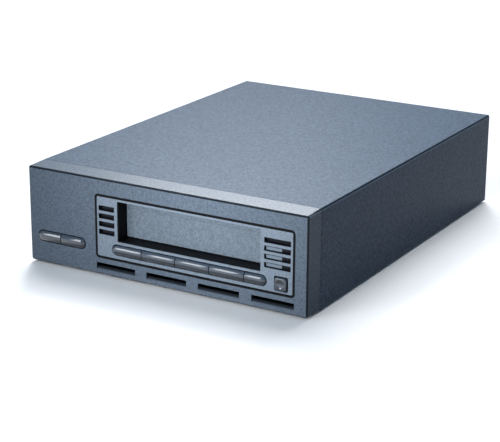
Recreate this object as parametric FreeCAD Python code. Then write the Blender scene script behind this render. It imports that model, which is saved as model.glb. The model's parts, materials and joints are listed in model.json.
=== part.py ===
"""Desktop data tape drive: a half-height cartridge tape drive inside a free-standing enclosure.

The frame is millimetres with +Z up. X runs left to right as the user faces the front, the front
looks along -Y, and the origin is the middle of the footprint on the surface that the feet stand on.
Each function below makes one sub-part, and write_parts() saves every sub-part as its own STEP file.
"""

import FreeCAD
import Part

import math
import os

# ---------------------------------------------------------------- enclosure, driving dimensions
overall_width = 215.0
body_height = 67.5            # fascia and cover, without the feet
overall_depth = 290.0         # fascia face to the rear edge of the cover
foot_height = 1.5
foot_size = 13.0
foot_inset = 22.0             # foot centre to the tray's edge

cover_wall = 1.0
tray_wall = 1.2
panel_wall = 1.2
panel_foot = 8.0              # bent edges of the rear panel
sheet_clearance = 0.2         # between nested sheet-metal pieces
shell_corner = 1.5            # outside bend radius of the cover
tray_flange = 12.0
rear_lip = 8.0                # cover lip that laps over the rear panel
air_slot_count = 5
air_slot_length = 26.0
air_slot_width = 3.0
air_slot_pitch = 9.0
air_slot_inset = 20.0         # first slot, from the power supply's front

fascia_depth = 17.0           # visible depth of the fascia, up to the seam
fascia_wall = 2.5
fascia_drop = 0.5             # how far the fascia's top slopes down to the front
fascia_edge = 0.8             # bevel of the fascia's front edges
tongue_length = 5.0           # lip of the fascia that slides inside the cover
tongue_clearance = 0.3
seam_gap = 0.5

vent_count = 4
vent_width = 31.0
vent_height = 3.1
vent_ramp = 2.0               # height and depth of the sloped lip under each vent
vent_bottom = 3.0             # bottom of the sloped lip, above the fascia's lower edge

status_centre_x = 26.6        # from the fascia's left edge
status_centre_z = 19.0        # from the fascia's lower edge
status_width = 39.6
status_height = 8.5
status_margin = 4.0           # board round the status pocket
support_rib = 1.5

# ---------------------------------------------------------------- drive front, driving dimensions
bezel_height = 42.3
bezel_depth = 8.0
bezel_plate = 2.0
bezel_wall = 1.6
bezel_corner = 2.0
bezel_edge = 0.4
bezel_gap = 0.8               # fascia window to bezel
bezel_left_margin = 55.6      # fascia's left edge to bezel
bezel_side_margin = 10.2      # bezel to the fascia's right edge
bezel_bottom_margin = 12.7    # bezel to the fascia's lower edge
rim_setback = 0.15            # inserts sit this far behind the bezel face

slot_left = 16.6              # margins of the slot in the bezel
slot_right = 22.5
slot_bottom = 12.35
slot_top = 1.9
slot_recess = 9.7             # bezel face to door face
liner_wall = 0.8
liner_length = 2.6            # behind the hinge
fit_clearance = 0.1           # between fixed pieces that seat in each other
door_thickness = 1.2
door_clearance = 0.4
door_top_gap = 0.2            # slot top to door top
door_stop = 0.9
door_groove = 0.3
door_groove_drop = 6.0        # decorative line below the door's top edge
running_clearance = 0.06      # radial, shafts in bores

window_count = 4
window_height = 3.6
window_pitch = 5.5
window_first_z = 17.5         # lowest window's centre, from the bezel's lower edge
window_depth = 2.0            # face of the indicator lens behind the bezel face
left_window_x = 1.75          # from the bezel's left edge
left_window_width = 12.5
right_window_margin = 1.9     # to the bezel's right edge
right_window_width = 19.2
legend_width = 11.8           # grey tile in the three lower windows on the right
shield_wall = 0.4
shield_overlap = 0.8          # insert plate behind the lenses
lens_thickness = 1.2

key_bar_left = 12.0           # from the bezel's left edge
key_bar_bottom = 2.6          # from the bezel's lower edge
key_bar_right = 18.8          # from the bezel's right edge
key_bar_height = 8.0
key_splits = (0.206, 0.425, 0.644, 0.864)  # along the bar
key_gap = 0.6                 # all round a row of keys
key_split = 0.4               # between neighbouring keys
key_notch = 0.8               # V groove at each split
key_proud = 2.0
key_crown = 2.5               # rounding of a key's front edges
key_travel = 0.9
key_rest_gap = 0.3            # switch to stem when the key is pressed home
key_lip = 1.0                 # flange behind the wall that keeps the key in
key_stem = 0.8
key_stem_size = 3.0

eject_margin = 8.7            # from the bezel's right edge to the button's middle
eject_centre_z = 6.6          # from the bezel's lower edge
eject_size = 8.6
eject_gap = 0.8
eject_lip = 0.6               # lip beyond the opening
eject_proud = 1.6
eject_corner = 1.4
eject_edge = 0.6
eject_dish_radius = 2.9
eject_dish_depth = 0.45
eject_travel = 0.9

board_thickness = 1.6
board_inset = 0.3
switch_body = 1.4
switch_size = 5.0
lamp_size = 2.0
lamp_inset = 2.0              # from the window's right end

# ---------------------------------------------------------------- drive body, driving dimensions
drive_side_inset = 1.6        # casting inside the bezel's outline
drive_edge_inset = 0.5
drive_length = 203.0
casting_wall = 2.5
casting_floor_z = 3.6         # underside of the casting's floor, above the drive's bottom
casting_floor = 2.0
lid_thickness = 1.0
lid_bead = 6.0
lid_bead_rise = 0.5
lid_bead_inset = 18.0
lid_bead_places = (1 / 3, 2 / 3)  # along the drive
controller_z = 1.0            # underside of the controller board
controller_margin = 1.0
chip_places = ((-40.0, 40.0), (5.0, 70.0), (-30.0, 110.0))
chip_size = 20.0
chip_height = 0.9
plug_depth = 8.0              # rear connectors of the drive
plug_height = 9.0
plug_margin = 3.0

cartridge_side_room = 2.15    # slot opening beside the cartridge
cartridge_play = 0.8
receiver_sheet = 0.8
receiver_gap = 0.6            # behind the slot liner
receiver_length = 105.0
receiver_step = 0.2           # receiver floor below the liner floor
receiver_lip = 6.0            # inward lips over the cartridge's edges
receiver_lip_length = 72.0
receiver_stop = (0.22, 0.81)  # cartridge stop, in half widths of the receiver from its middle
receiver_stop_height = 8.0
receiver_hub_hole = 21.0      # half the width of the opening over the supply hub
receiver_drop = 4.0           # how far the receiver lowers the cartridge onto the hub
receiver_pin_radius = 1.2
receiver_pin_z = 20.0         # above the drive's bottom, receiver raised
receiver_pin_y = (46.0, 96.0)  # from the bezel face
guide_post_size = 3.6         # square posts that keep the receiver upright
guide_post_spread = (-0.57, 0.87)  # in half widths of the receiver from its middle

cam_travel = 12.0
cam_sheet = 1.0
cam_gap = 0.5
cam_bottom_z = 6.4            # above the drive's bottom
cam_top_z = 24.0
cam_front = 28.0              # from the bezel face
cam_back = 112.0
cam_bridge_front = 98.0
cam_bridge_width = 8.0
rack_width = 3.0
rack_overrun = 6.0            # rack beyond the gear axis at each end of its travel
rack_module = 0.8
rack_depth = 3.6              # cam plate to the rack's pitch line
pinion_teeth = 12
pinion_width = 3.8
drive_module = 0.6
wheel_teeth = 24
wheel_width = 2.6
motor_pinion_teeth = 12
pressure_angle = 20.0
tooth_tip = 0.95              # in modules, outside the pitch line
tooth_root = 1.25             # in modules, inside the pitch line
tooth_backlash = 0.12
gear_y = 70.0                 # gear axis, from the bezel face
gear_post_radius = 1.25
post_shoulder = 1.0           # square foot round a round post, that a wheel runs on
shelf_clearance = 0.8         # wheel to motor shelf
load_motor_radius = 7.5
load_motor_length = 17.0
load_shaft_radius = 0.75
load_shaft_in = 2.0           # shaft inside the motor
load_shelf = 2.0
shelf_web = 1.2

hub_y = 65.0                  # supply hub axis, from the bezel face
hub_radius = 14.0
hub_thickness = 2.2
hub_coupling = 9.0            # six-sided coupling, corner radius
hub_coupling_height = 0.8
spindle_radius = 3.0
supply_motor_size = 28.0
supply_motor_height = 2.4
take_up_motor_size = 44.0
reel_lift = 0.3               # running gap over a reel motor
reel_offset_x = 10.0          # take-up reel axis, from the drive's middle
reel_room = 1.3               # reel to the receiver's ears and to the casting
reel_hub_radius = 15.0
reel_inner_width = 13.4
reel_flange = 1.2
reel_catch = 5.0
tape_middle_z = 21.6          # above the drive's bottom

roller_radius = 4.5
roller_post_radius = 1.5
roller_post_end = 1.0         # post above its roller
roller_places = ((16.0, 136.0), (16.0, 170.0))  # drive's left side, bezel face

head_x = 12.5                 # head carriage, from the drive's left side
head_y = 153.0
head_travel = 3.2
head_screw_radius = 1.8
head_screw_offset = (0.5, -3.6)
head_block_x = 8.4
head_block_y = 14.0
head_block_z = 11.0
head_frame_wall = 1.6
head_spine_gap = 0.6
head_rib = 1.6
head_base = 2.0
head_crown = 1.2
head_face_width = 7.0
head_face_inset = 0.5
head_end_room = 1.0           # carriage to frame at the end of its travel
stepper_size = 6.4
stepper_height = 4.5
stepper_bottom = 1.0
screw_end_gap = 0.2

# ---------------------------------------------------------------- inner structure, driving dimensions
rail_sheet = 1.5
rail_foot = 6.5
rail_height = 27.0
rail_front = 35.0             # from the drive's front
rail_length = 104.0
psu_length = 138.0
psu_height = 44.0
psu_wall = 1.0
psu_rear_gap = 21.8           # to the rear panel
psu_side_gap = 5.0            # to the tray's flange
psu_rail_gap = 1.3            # to the drive's bracket
psu_standoff = 4.0
psu_part_height = 24.0
psu_board_inset = 1.0
psu_foot = 4.0
transformer_x = 28.0
transformer_y = 27.0
transformer_place = 0.49      # middles, along the power supply
capacitor_size = 17.0
capacitor_place = 0.2
sink_x = -14.5                # heat sink, from the supply's middle
sink_place = 0.77
sink_length = 36.0
sink_thickness = 3.0
fin_count = 5
fin_pitch = 8.0
fin_length = 7.0
fin_thickness = 1.5
header_size = 6.0             # power header on the supply's board
header_depth = 3.0
header_gap = 2.0
harness_lead = 10.0           # cable corner behind the drive's connector
harness_inset = 19.0          # drive's left side to its power connector
harness_width = 8.0
harness_thickness = 1.6
harness_bend = 5.0
harness_room_y = 2.0          # outlet round the cable
harness_room_z = 1.0
ribbon_width = 43.2
ribbon_thickness = 0.9
ribbon_bend = 3.0
ribbon_slack = 4.0

# ---------------------------------------------------------------- rear fittings, driving dimensions
fan_room = 6.35               # above and below the fan, to the panel's bent edges
fan_gap = 2.1                 # inlet flange to fan
fan_depth = 15.0
fan_wall = 1.6                # thinnest part of the duct
fan_blades = 5
fan_blade = 1.2
fan_pitch = 40.0
fan_tip_gap = 1.6
fan_hub_radius = 9.0
fan_axle_radius = 1.5
fan_arm = 2.0
fan_arm_width = 3.0
fan_arms = 3
fan_arm_angle = 30.0
fan_run_gap = 0.3
fan_back_gap = 1.0            # rotor to the rear panel
grille_rim = 1.0              # slots stop this far inside the duct
grille_rib = 3.0
grille_slot = 2.6
grille_pitch = 4.8
inlet_centre_z = 17.5
inlet_flange_x = 50.0
inlet_flange_z = 22.6
inlet_flange = 2.0
inlet_flange_corner = 4.0
inlet_body_x = 28.0
inlet_body_z = 20.4
inlet_body_depth = 20.0
inlet_cavity_x = 24.4
inlet_cavity_z = 16.4
inlet_cavity_depth = 16.0
inlet_cavity_chamfer = 4.0
inlet_pin_x = 2.0
inlet_pin_z = 4.0
inlet_pin_pitch = 7.0
inlet_pin_drop = 1.8
inlet_pin_recess = 6.0
rocker_centre_z = 45.0
rocker_rim_x = 23.0
rocker_rim_z = 15.0
rocker_rim = 1.5
rocker_floor = 1.0
rocker_body_x = 20.4
rocker_body_z = 12.6
rocker_depth = 15.0
rocker_radius = 8.0
rocker_height = 10.0
rocker_room = 0.4
rocker_end_room = 1.2
rocker_sink = 3.5             # rocker axis inside the panel face
rocker_face = 6.2             # rocker ends outside its axis
rocker_dish = 1.2
rocker_heel = 4.0
rocker_axle = 1.2
rocker_tilt = 8.0
connector_z = (22.0, 44.0)
connector_shell_x = 46.5
connector_shell_z = 9.0
connector_flange = 2.0
connector_ear = 3.6           # flange beyond the jack posts
connector_mouth_x = 44.0
connector_mouth_z = 6.4
connector_mouth_depth = 6.2
connector_key = 1.6           # slant of the mouth's ends
connector_proud = 3.4
connector_tongue_x = 40.0
connector_tongue_z = 2.2
connector_tongue_sink = 1.0
jack_pitch = 56.0
jack_radius = 2.8             # hexagon, corner radius
jack_proud = 5.0
interface_depth = 12.0        # interface board behind the rear panel
interface_margin = 8.0
id_margin = 19.5              # from the right side
id_centre_z = 33.0
id_body_x = 9.0
id_body_z = 27.0
id_proud = 0.6
id_room = 0.3
id_well = 5.6
id_button = 4.0
id_button_proud = 1.2
id_button_travel = 1.0
id_button_offset = 8.5
id_wheel_radius = 4.4
id_wheel_width = 4.0
id_wheel_sink = 0.3
id_axle_radius = 0.8
id_faces = 10
interface_end = 2.0           # interface board beyond the unit switch

# ---------------------------------------------------------------- places worked out from the sizes
front_reach = key_proud                    # keys stand in front of the fascia
rear_reach = jack_proud - cover_wall       # jack posts stand behind the cover
front_y = -(overall_depth + rear_reach - front_reach) / 2
rear_y = front_y + overall_depth
panel_y = rear_y - cover_wall              # rear panel, outer face
panel_inner_y = panel_y - panel_wall
left_x = -overall_width / 2
right_x = overall_width / 2
base_z = foot_height                       # underside of tray and fascia
top_z = base_z + body_height
tray_top = base_z + tray_wall
seam_y = front_y + fascia_depth
shell_y = seam_y + seam_gap                # front edge of cover and tray
tray_half = overall_width / 2 - cover_wall - sheet_clearance

bezel_left = left_x + bezel_left_margin
bezel_right = right_x - bezel_side_margin
bezel_z = base_z + bezel_bottom_margin
bezel_top = bezel_z + bezel_height
bezel_back = front_y + bezel_depth
drive_x = (bezel_left + bezel_right) / 2
drive_z = bezel_z + drive_edge_inset
drive_left = bezel_left + drive_side_inset
drive_right = bezel_right - drive_side_inset
drive_front = bezel_back
drive_back = drive_front + drive_length
casting_top = bezel_top - drive_edge_inset - lid_thickness
floor_top = drive_z + casting_floor_z + casting_floor

slot_x0 = bezel_left + slot_left
slot_x1 = bezel_right - slot_right
slot_z0 = bezel_z + slot_bottom
slot_z1 = bezel_top - slot_top
channel_x = (slot_x0 + slot_x1) / 2
throat_x0 = slot_x0 + fit_clearance + liner_wall
throat_x1 = slot_x1 - fit_clearance - liner_wall
throat_z0 = slot_z0 + fit_clearance + liner_wall
pivot_radius = door_thickness / 2
door_y = front_y + slot_recess
door_top = slot_z1 - door_top_gap
hinge_z = door_top - pivot_radius
hinge_y = door_y + pivot_radius
liner_back = hinge_y + liner_length

cartridge_width = slot_x1 - slot_x0 - 2 * cartridge_side_room
receiver_half = (cartridge_width + cartridge_play) / 2 + receiver_sheet
receiver_back = liner_back + receiver_gap + receiver_length
receiver_ear = guide_post_size + 2 * fit_clearance
ear_back = receiver_back + guide_post_size + receiver_ear
reel_back = drive_back - casting_wall
reel_radius = (reel_back - ear_back) / 2 - reel_room

psu_x0 = -tray_half + tray_wall + psu_side_gap
psu_x1 = drive_left - rail_foot - psu_rail_gap
services_x = (psu_x0 + psu_x1) / 2         # middle of the power supply, the inlet and the switch
panel_top = top_z - cover_wall - sheet_clearance
fan_low = tray_top + panel_wall + fan_room
fan_high = panel_top - panel_wall - fan_room
fan_size = fan_high - fan_low
fan_bore = fan_size / 2 - fan_wall
fan_tip = fan_bore - fan_tip_gap
fan_centre_x = services_x + inlet_flange_x / 2 + fan_gap + fan_size / 2
fan_centre_z = (fan_low + fan_high) / 2
id_centre_x = right_x - id_margin
connector_x = (fan_centre_x + fan_size / 2 + id_centre_x - id_body_x / 2) / 2

gap = 1e-3                                 # slack for cutting tools that must pass a face


# ---------------------------------------------------------------- helpers
def point(x, y, z):
    return FreeCAD.Vector(x, y, z)


def block(x0, x1, y0, y1, z0, z1):
    return Part.makeBox(x1 - x0, y1 - y0, z1 - z0, point(x0, y0, z0))


def rod(radius, start, end):
    axis = end.sub(start)
    return Part.makeCylinder(radius, axis.Length, start, axis)


def post(radius, x, y, z0, z1):
    return Part.makeCylinder(radius, z1 - z0, point(x, y, z0))


def square_post(size, x, y, z0, z1):
    return block(x - size / 2, x + size / 2, y - size / 2, y + size / 2, z0, z1)


def prism(points, direction):
    """Solid between a closed polygon and its copy moved by direction."""
    corners = [point(*p) for p in points]
    return Part.Face(Part.makePolygon(corners + corners[:1])).extrude(point(*direction))


def arc(start, middle, end):
    return Part.Arc(point(*start), point(*middle), point(*end)).toShape()


def line(start, end):
    return Part.makeLine(point(*start), point(*end))


def rounded_wire(x0, x1, z0, z1, radius, y):
    """Rectangle with rounded corners in the plane at y."""
    radius = min(radius, (x1 - x0) / 2 - gap, (z1 - z0) / 2 - gap)
    turn = radius * (1 - math.sqrt(0.5))
    corners = [
        ((x0, z0 + radius), (x0 + turn, z0 + turn), (x0 + radius, z0)),
        ((x1 - radius, z0), (x1 - turn, z0 + turn), (x1, z0 + radius)),
        ((x1, z1 - radius), (x1 - turn, z1 - turn), (x1 - radius, z1)),
        ((x0 + radius, z1), (x0 + turn, z1 - turn), (x0, z1 - radius)),
    ]
    edges = []
    last = corners[-1][2]
    for corner in corners:
        start, middle, end = [(x, y, z) for x, z in corner]
        edges.append(line((last[0], y, last[1]), start))
        edges.append(arc(start, middle, end))
        last = corner[2]
    return Part.Wire(edges)


def round_rect(x0, x1, z0, z1, radius, y0, y1):
    """Prism along Y whose front view is a rectangle with rounded corners."""
    return Part.Face(rounded_wire(x0, x1, z0, z1, radius, y0)).extrude(point(0, y1 - y0, 0))


def bevelled_rect(x0, x1, z0, z1, radius, bevel, y0, y1):
    """The same prism with its front edges bevelled."""
    front = rounded_wire(x0 + bevel, x1 - bevel, z0 + bevel, z1 - bevel, radius - bevel, y0)
    middle = rounded_wire(x0, x1, z0, z1, radius, y0 + bevel)
    back = rounded_wire(x0, x1, z0, z1, radius, y1)
    return Part.makeLoft([front, middle, back], True, True)


def fused(shapes):
    shapes = list(shapes)
    if len(shapes) == 1:
        return shapes[0]
    return shapes[0].multiFuse(shapes[1:]).removeSplitter()


def without(shape, tools):
    return shape.cut(list(tools))


def rows(count, first, pitch):
    return [first + pitch * k for k in range(count)]


def regular(sides, radius):
    """Corners of a regular polygon with a flat side across its first axis."""
    turns = [math.pi * (2 * k + 1) / sides for k in range(sides)]
    return [(radius * math.cos(a), radius * math.sin(a)) for a in turns]


def hexagon(radius, x, z, y0, y1):
    """Hexagonal prism along Y, with its corners at radius."""
    return prism([(x + a, y0, z + b) for a, b in regular(6, radius)], (0, y1 - y0, 0))


def gear(module, teeth, width, x, y, z, first_angle):
    """Spur gear on a vertical axis with straight flanks through the involute, a tooth at first_angle."""
    pressure = math.radians(pressure_angle)
    pitch = module * teeth / 2
    base = pitch * math.cos(pressure)
    root = pitch - tooth_root * module
    tip = pitch + tooth_tip * module
    half_tooth = (math.pi * module / 2 - tooth_backlash) / 2 / pitch

    def flank_angle(radius):
        turn = math.acos(base / max(radius, base))
        return half_tooth + math.tan(pressure) - pressure - (math.tan(turn) - turn)

    flank = [(radius, flank_angle(radius)) for radius in (root, tip)]
    corners = []
    for k in range(teeth):
        middle = math.radians(first_angle) + 2 * math.pi * k / teeth
        corners += [(radius, middle - angle) for radius, angle in flank]
        corners += [(radius, middle + angle) for radius, angle in reversed(flank)]
    outline = [(x + r * math.cos(a), y + r * math.sin(a), z) for r, a in corners]
    return prism(outline, (0, 0, width))


def flat_cable(points, bend, thickness, across):
    """Flat cable along points with a round bend at each inner one; across is its width as a vector."""
    path = [point(*p) for p in points]
    edges = []
    start = path[0]
    for before, corner, after in zip(path, path[1:], path[2:]):
        into = corner.sub(before).normalize()
        out = after.sub(corner).normalize()
        half_turn = into.getAngle(out) / 2
        reach = bend * math.tan(half_turn)
        arc_start = corner.sub(into * reach)
        arc_end = corner.add(out * reach)
        centre = corner.add(out.sub(into).normalize() * (bend / math.cos(half_turn)))
        middle = centre.add(corner.sub(centre).normalize() * bend)
        edges.append(Part.makeLine(start, arc_start))
        edges.append(Part.Arc(arc_start, middle, arc_end).toShape())
        start = arc_end
    edges.append(Part.makeLine(start, path[-1]))
    width = point(*across)
    run = path[1].sub(path[0]).normalize()
    side = run.cross(width).normalize() * (thickness / 2)
    first = path[0].sub(width * 0.5)
    section = Part.makePolygon([
        first.add(side),
        first.add(side).add(width),
        first.sub(side).add(width),
        first.sub(side),
        first.add(side),
    ])
    return Part.Wire(edges).makePipeShell([section], True, True)


# ---------------------------------------------------------------- enclosure
def front_fascia():
    """Moulded front frame with its window, status pocket, vents, rear tongue and board supports."""
    back = seam_y + tongue_length
    edge = fascia_edge
    front_top = top_z - fascia_drop
    outer = Part.makeLoft(
        [
            rounded_wire(
                left_x + edge, right_x - edge, base_z + edge, front_top - edge, shell_corner - edge, front_y
            ),
            rounded_wire(left_x, right_x, base_z, front_top, shell_corner, front_y + edge),
            rounded_wire(left_x, right_x, base_z, top_z, shell_corner, seam_y),
            rounded_wire(left_x, right_x, base_z, top_z, shell_corner, back),
        ],
        True, True,
    )
    step = cover_wall + tongue_clearance
    past_tongue = block(left_x - 1, right_x + 1, seam_y, back + 1, base_z - 1, top_z + 1)
    past_tongue = past_tongue.cut(
        block(left_x + step, right_x - step, seam_y - 1, back + 2, tray_top, top_z - step)
    )
    hollow = block(
        left_x + fascia_wall, right_x - fascia_wall, front_y + fascia_wall, back + 1,
        base_z + fascia_wall, top_z - fascia_wall,
    )
    window = round_rect(
        bezel_left - bezel_gap, bezel_right + bezel_gap, bezel_z - bezel_gap,
        bezel_top + bezel_gap, bezel_corner + bezel_gap, *fascia_through(),
    )
    x0, x1, z0, z1 = status_pocket()
    pocket = round_rect(x0, x1, z0, z1, (z1 - z0) / 2, *fascia_through())
    shell = without(outer, [past_tongue, hollow, window, pocket] + vent_tools())
    return fused([shell] + status_board_supports())


def fascia_through():
    """Y range that passes through the fascia's wall."""
    return front_y - 1, front_y + fascia_wall + 1


def status_pocket():
    x = left_x + status_centre_x
    z = base_z + status_centre_z
    return x - status_width / 2, x + status_width / 2, z - status_height / 2, z + status_height / 2


def vent_tools():
    """Slits through the fascia under the drive, each with a sloped lip that opens at the face."""
    span = bezel_right - bezel_left + 2 * bezel_gap
    pitch = (span - vent_width) / (vent_count - 1)
    slit_z = base_z + vent_bottom + vent_ramp
    tools = []
    for x in rows(vent_count, bezel_left - bezel_gap, pitch):
        tools.append(block(x, x + vent_width, *fascia_through(), slit_z, slit_z + vent_height))
        ramp = [
            (x, front_y - gap, slit_z - vent_ramp),
            (x, front_y - gap, slit_z + gap),
            (x, front_y + vent_ramp, slit_z + gap),
        ]
        tools.append(prism(ramp, (vent_width, 0, 0)))
    return tools


def top_cover():
    """Folded steel cover: top, both sides and a lip over the rear panel."""
    outer = round_rect(left_x, right_x, base_z - shell_corner - 1, top_z, shell_corner, shell_y, rear_y)
    inner = block(
        left_x + cover_wall, right_x - cover_wall, shell_y - 1, rear_y - cover_wall,
        base_z - shell_corner - 2, top_z - cover_wall,
    )
    below = block(left_x - 1, right_x + 1, shell_y - 1, rear_y + 1, base_z - shell_corner - 2, base_z)
    behind = block(
        left_x + cover_wall, right_x - cover_wall, rear_y - cover_wall - 1, rear_y + 1,
        base_z - 1, top_z - rear_lip,
    )
    return without(outer, [inner, below, behind])


def base_tray():
    """Steel floor with a flange up each side and air slots under the power supply."""
    floor = block(-tray_half, tray_half, shell_y, panel_inner_y, base_z, tray_top)
    flange_front = seam_y + tongue_length + 1
    flanges = [
        block(x, x + tray_wall, flange_front, panel_inner_y, base_z, base_z + tray_flange)
        for x in (-tray_half, tray_half - tray_wall)
    ]
    x0 = services_x - air_slot_length / 2
    x1 = x0 + air_slot_length
    slots = [
        block(x0, x1, y, y + air_slot_width, base_z - 1, tray_top + 1)
        for y in rows(air_slot_count, psu_box()[2] + air_slot_inset, air_slot_pitch)
    ]
    return without(fused([floor] + flanges), slots)


def rubber_feet():
    """Four square stick-on feet."""
    return [
        square_post(foot_size, x, y, 0, foot_height)
        for x in (-tray_half + foot_inset, tray_half - foot_inset)
        for y in (shell_y + foot_inset, panel_inner_y - foot_inset)
    ]


def rear_panel():
    """Steel rear wall with a foot on the tray, a turned top edge and a cut-out for each fitting."""
    plate = block(-tray_half, tray_half, panel_inner_y, panel_y, base_z, panel_top)
    inner = tray_half - tray_wall - 1
    bend_y = panel_inner_y - panel_foot
    foot = block(-inner, inner, bend_y, panel_inner_y, tray_top, tray_top + panel_wall)
    turned = block(-inner, inner, bend_y, panel_inner_y, panel_top - panel_wall, panel_top)
    tools = [
        panel_cut(services_x, inlet_centre_z, inlet_body_x, inlet_body_z),
        panel_cut(services_x, rocker_centre_z, rocker_body_x, rocker_body_z),
        panel_cut(id_centre_x, id_centre_z, id_body_x, id_body_z),
    ]
    tools += [panel_cut(connector_x, z, connector_shell_x, connector_shell_z) for z in connector_z]
    tools += [
        hexagon(jack_radius + fit_clearance, x, z, panel_inner_y - 1, panel_y + 1)
        for x in jack_x() for z in connector_z
    ]
    return without(fused([plate, foot, turned]), tools + grille_tools())


def panel_cut(x, z, width, height):
    """Cut-out through the rear panel with fit clearance round a body of that size."""
    half_x = width / 2 + fit_clearance
    half_z = height / 2 + fit_clearance
    return block(x - half_x, x + half_x, panel_inner_y - 1, panel_y + 1, z - half_z, z + half_z)


def jack_x():
    return (connector_x - jack_pitch / 2, connector_x + jack_pitch / 2)


def grille_tools():
    """Two columns of slots in front of the fan that follow its round duct."""
    tools = []
    rim = fan_bore - grille_rim
    half = grille_slot / 2
    count = int(rim // grille_pitch)
    for row in range(-count, count + 1):
        z = fan_centre_z + row * grille_pitch
        reach = math.sqrt(rim ** 2 - (row * grille_pitch) ** 2)
        for side in (-1, 1):
            x0, x1 = sorted((fan_centre_x + side * grille_rib / 2, fan_centre_x + side * reach))
            tools.append(block(x0, x1, panel_inner_y - 1, panel_y + 1, z - half, z + half))
    return tools


# ---------------------------------------------------------------- keys
def crowned_bar(x0, x1, z0, z1, face, back, corner, crown):
    """Bar along X with its front edges rounded by crown and its front-view corners rounded by corner."""
    turn = crown * (1 - math.sqrt(0.5))
    bar = round_rect(x0, x1, z0, z1, corner, face, back)
    lengthwise = Part.Wire([
        arc((x0, face + crown, z0), (x0, face + turn, z0 + turn), (x0, face, z0 + crown)),
        line((x0, face, z0 + crown), (x0, face, z1 - crown)),
        arc((x0, face, z1 - crown), (x0, face + turn, z1 - turn), (x0, face + crown, z1)),
        line((x0, face + crown, z1), (x0, back, z1)),
        line((x0, back, z1), (x0, back, z0)),
        line((x0, back, z0), (x0, face + crown, z0)),
    ])
    upright = Part.Wire([
        arc((x0, face + crown, z0), (x0 + turn, face + turn, z0), (x0 + crown, face, z0)),
        line((x0 + crown, face, z0), (x1 - crown, face, z0)),
        arc((x1 - crown, face, z0), (x1 - turn, face + turn, z0), (x1, face + crown, z0)),
        line((x1, face + crown, z0), (x1, back, z0)),
        line((x1, back, z0), (x0, back, z0)),
        line((x0, back, z0), (x0, face + crown, z0)),
    ])
    bar = bar.common(Part.Face(lengthwise).extrude(point(x1 - x0, 0, 0)))
    return bar.common(Part.Face(upright).extrude(point(0, 0, z1 - z0)))


def key_row(pocket, splits, wall_back):
    """Row of domed keys in a round-ended pocket: one crowned bar with a lip behind, cut at the splits."""
    x0, x1, z0, z1 = pocket
    low, high = x0 + key_gap, x1 - key_gap
    bottom, top = z0 + key_gap, z1 - key_gap
    face = front_y - key_proud
    lip_y = wall_back + fit_clearance
    lip_back = lip_y + key_lip
    crown = min(key_crown, (top - bottom) / 2 - 2 * gap)
    bar = crowned_bar(low, high, bottom, top, face, lip_back, (top - bottom) / 2, crown)
    reach = key_gap + key_lip
    lip = block(low - reach, high + reach, lip_y, lip_back, bottom - reach, top + reach)
    bar = fused([bar, lip])
    notches = [
        prism(
            [
                (split - key_notch, face - gap, z0 - reach),
                (split + key_notch, face - gap, z0 - reach),
                (split, face + key_notch, z0 - reach),
            ],
            (0, 0, z1 - z0 + 2 * reach),
        )
        for split in splits
    ]
    bar = without(bar, notches)
    keys = []
    start = low - 2 * reach
    for split in list(splits) + [high + 2 * reach]:
        slab = block(start, split - key_split / 2, face - 1, lip_back + 1, z0 - 2 * reach, z1 + 2 * reach)
        keys.append(stemmed(bar.common(slab), lip_back, (z0 + z1) / 2))
        start = split + key_split / 2
    return keys


def stemmed(key, y, z):
    """Key with the square stem that reaches its switch."""
    x = key.BoundBox.Center.x
    half = key_stem_size / 2
    return fused([key, block(x - half, x + half, y, y + key_stem, z - half, z + half)])


def status_keys():
    return key_row(status_pocket(), [left_x + status_centre_x], front_y + fascia_wall)


def key_bar():
    x0, x1 = bezel_left + key_bar_left, bezel_right - key_bar_right
    z0 = bezel_z + key_bar_bottom
    return x0, x1, z0, z0 + key_bar_height


def drive_keys():
    x0, x1, _, _ = key_bar()
    splits = [x0 + (x1 - x0) * split for split in key_splits]
    return key_row(key_bar(), splits, front_y + bezel_plate)


def status_board_front():
    lip_back = front_y + fascia_wall + fit_clearance + key_lip
    return lip_back + key_stem + key_travel + key_rest_gap + switch_body


def status_board():
    """Small board behind the two status keys, with a switch for each key."""
    x0, x1, z0, z1 = status_pocket()
    front = status_board_front()
    board = block(
        x0 - status_margin, x1 + status_margin, front, front + board_thickness,
        z0 - status_margin, z1 + status_margin,
    )
    half = switch_size / 2
    z = (z0 + z1) / 2
    switches = [
        block(x - half, x + half, front - switch_body, front, z - half, z + half)
        for x in [key.BoundBox.Center.x for key in status_keys()]
    ]
    return fused([board] + switches)


def status_board_supports():
    """Ribs behind the fascia that hold the status board at its two ends."""
    x0, x1, z0, z1 = status_pocket()
    front = status_board_front()
    return [
        block(x, x + support_rib, front_y + fascia_wall, front, z0 - status_margin, z1 + status_margin)
        for x in (x0 - status_margin, x1 + status_margin - support_rib)
    ]


# ---------------------------------------------------------------- drive bezel
def window_rows():
    return rows(window_count, bezel_z + window_first_z, window_pitch)


def window_columns():
    return (
        (bezel_left + left_window_x, left_window_width),
        (bezel_right - right_window_margin - right_window_width, right_window_width),
    )


def eject_centre():
    return bezel_right - eject_margin, bezel_z + eject_centre_z


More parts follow.
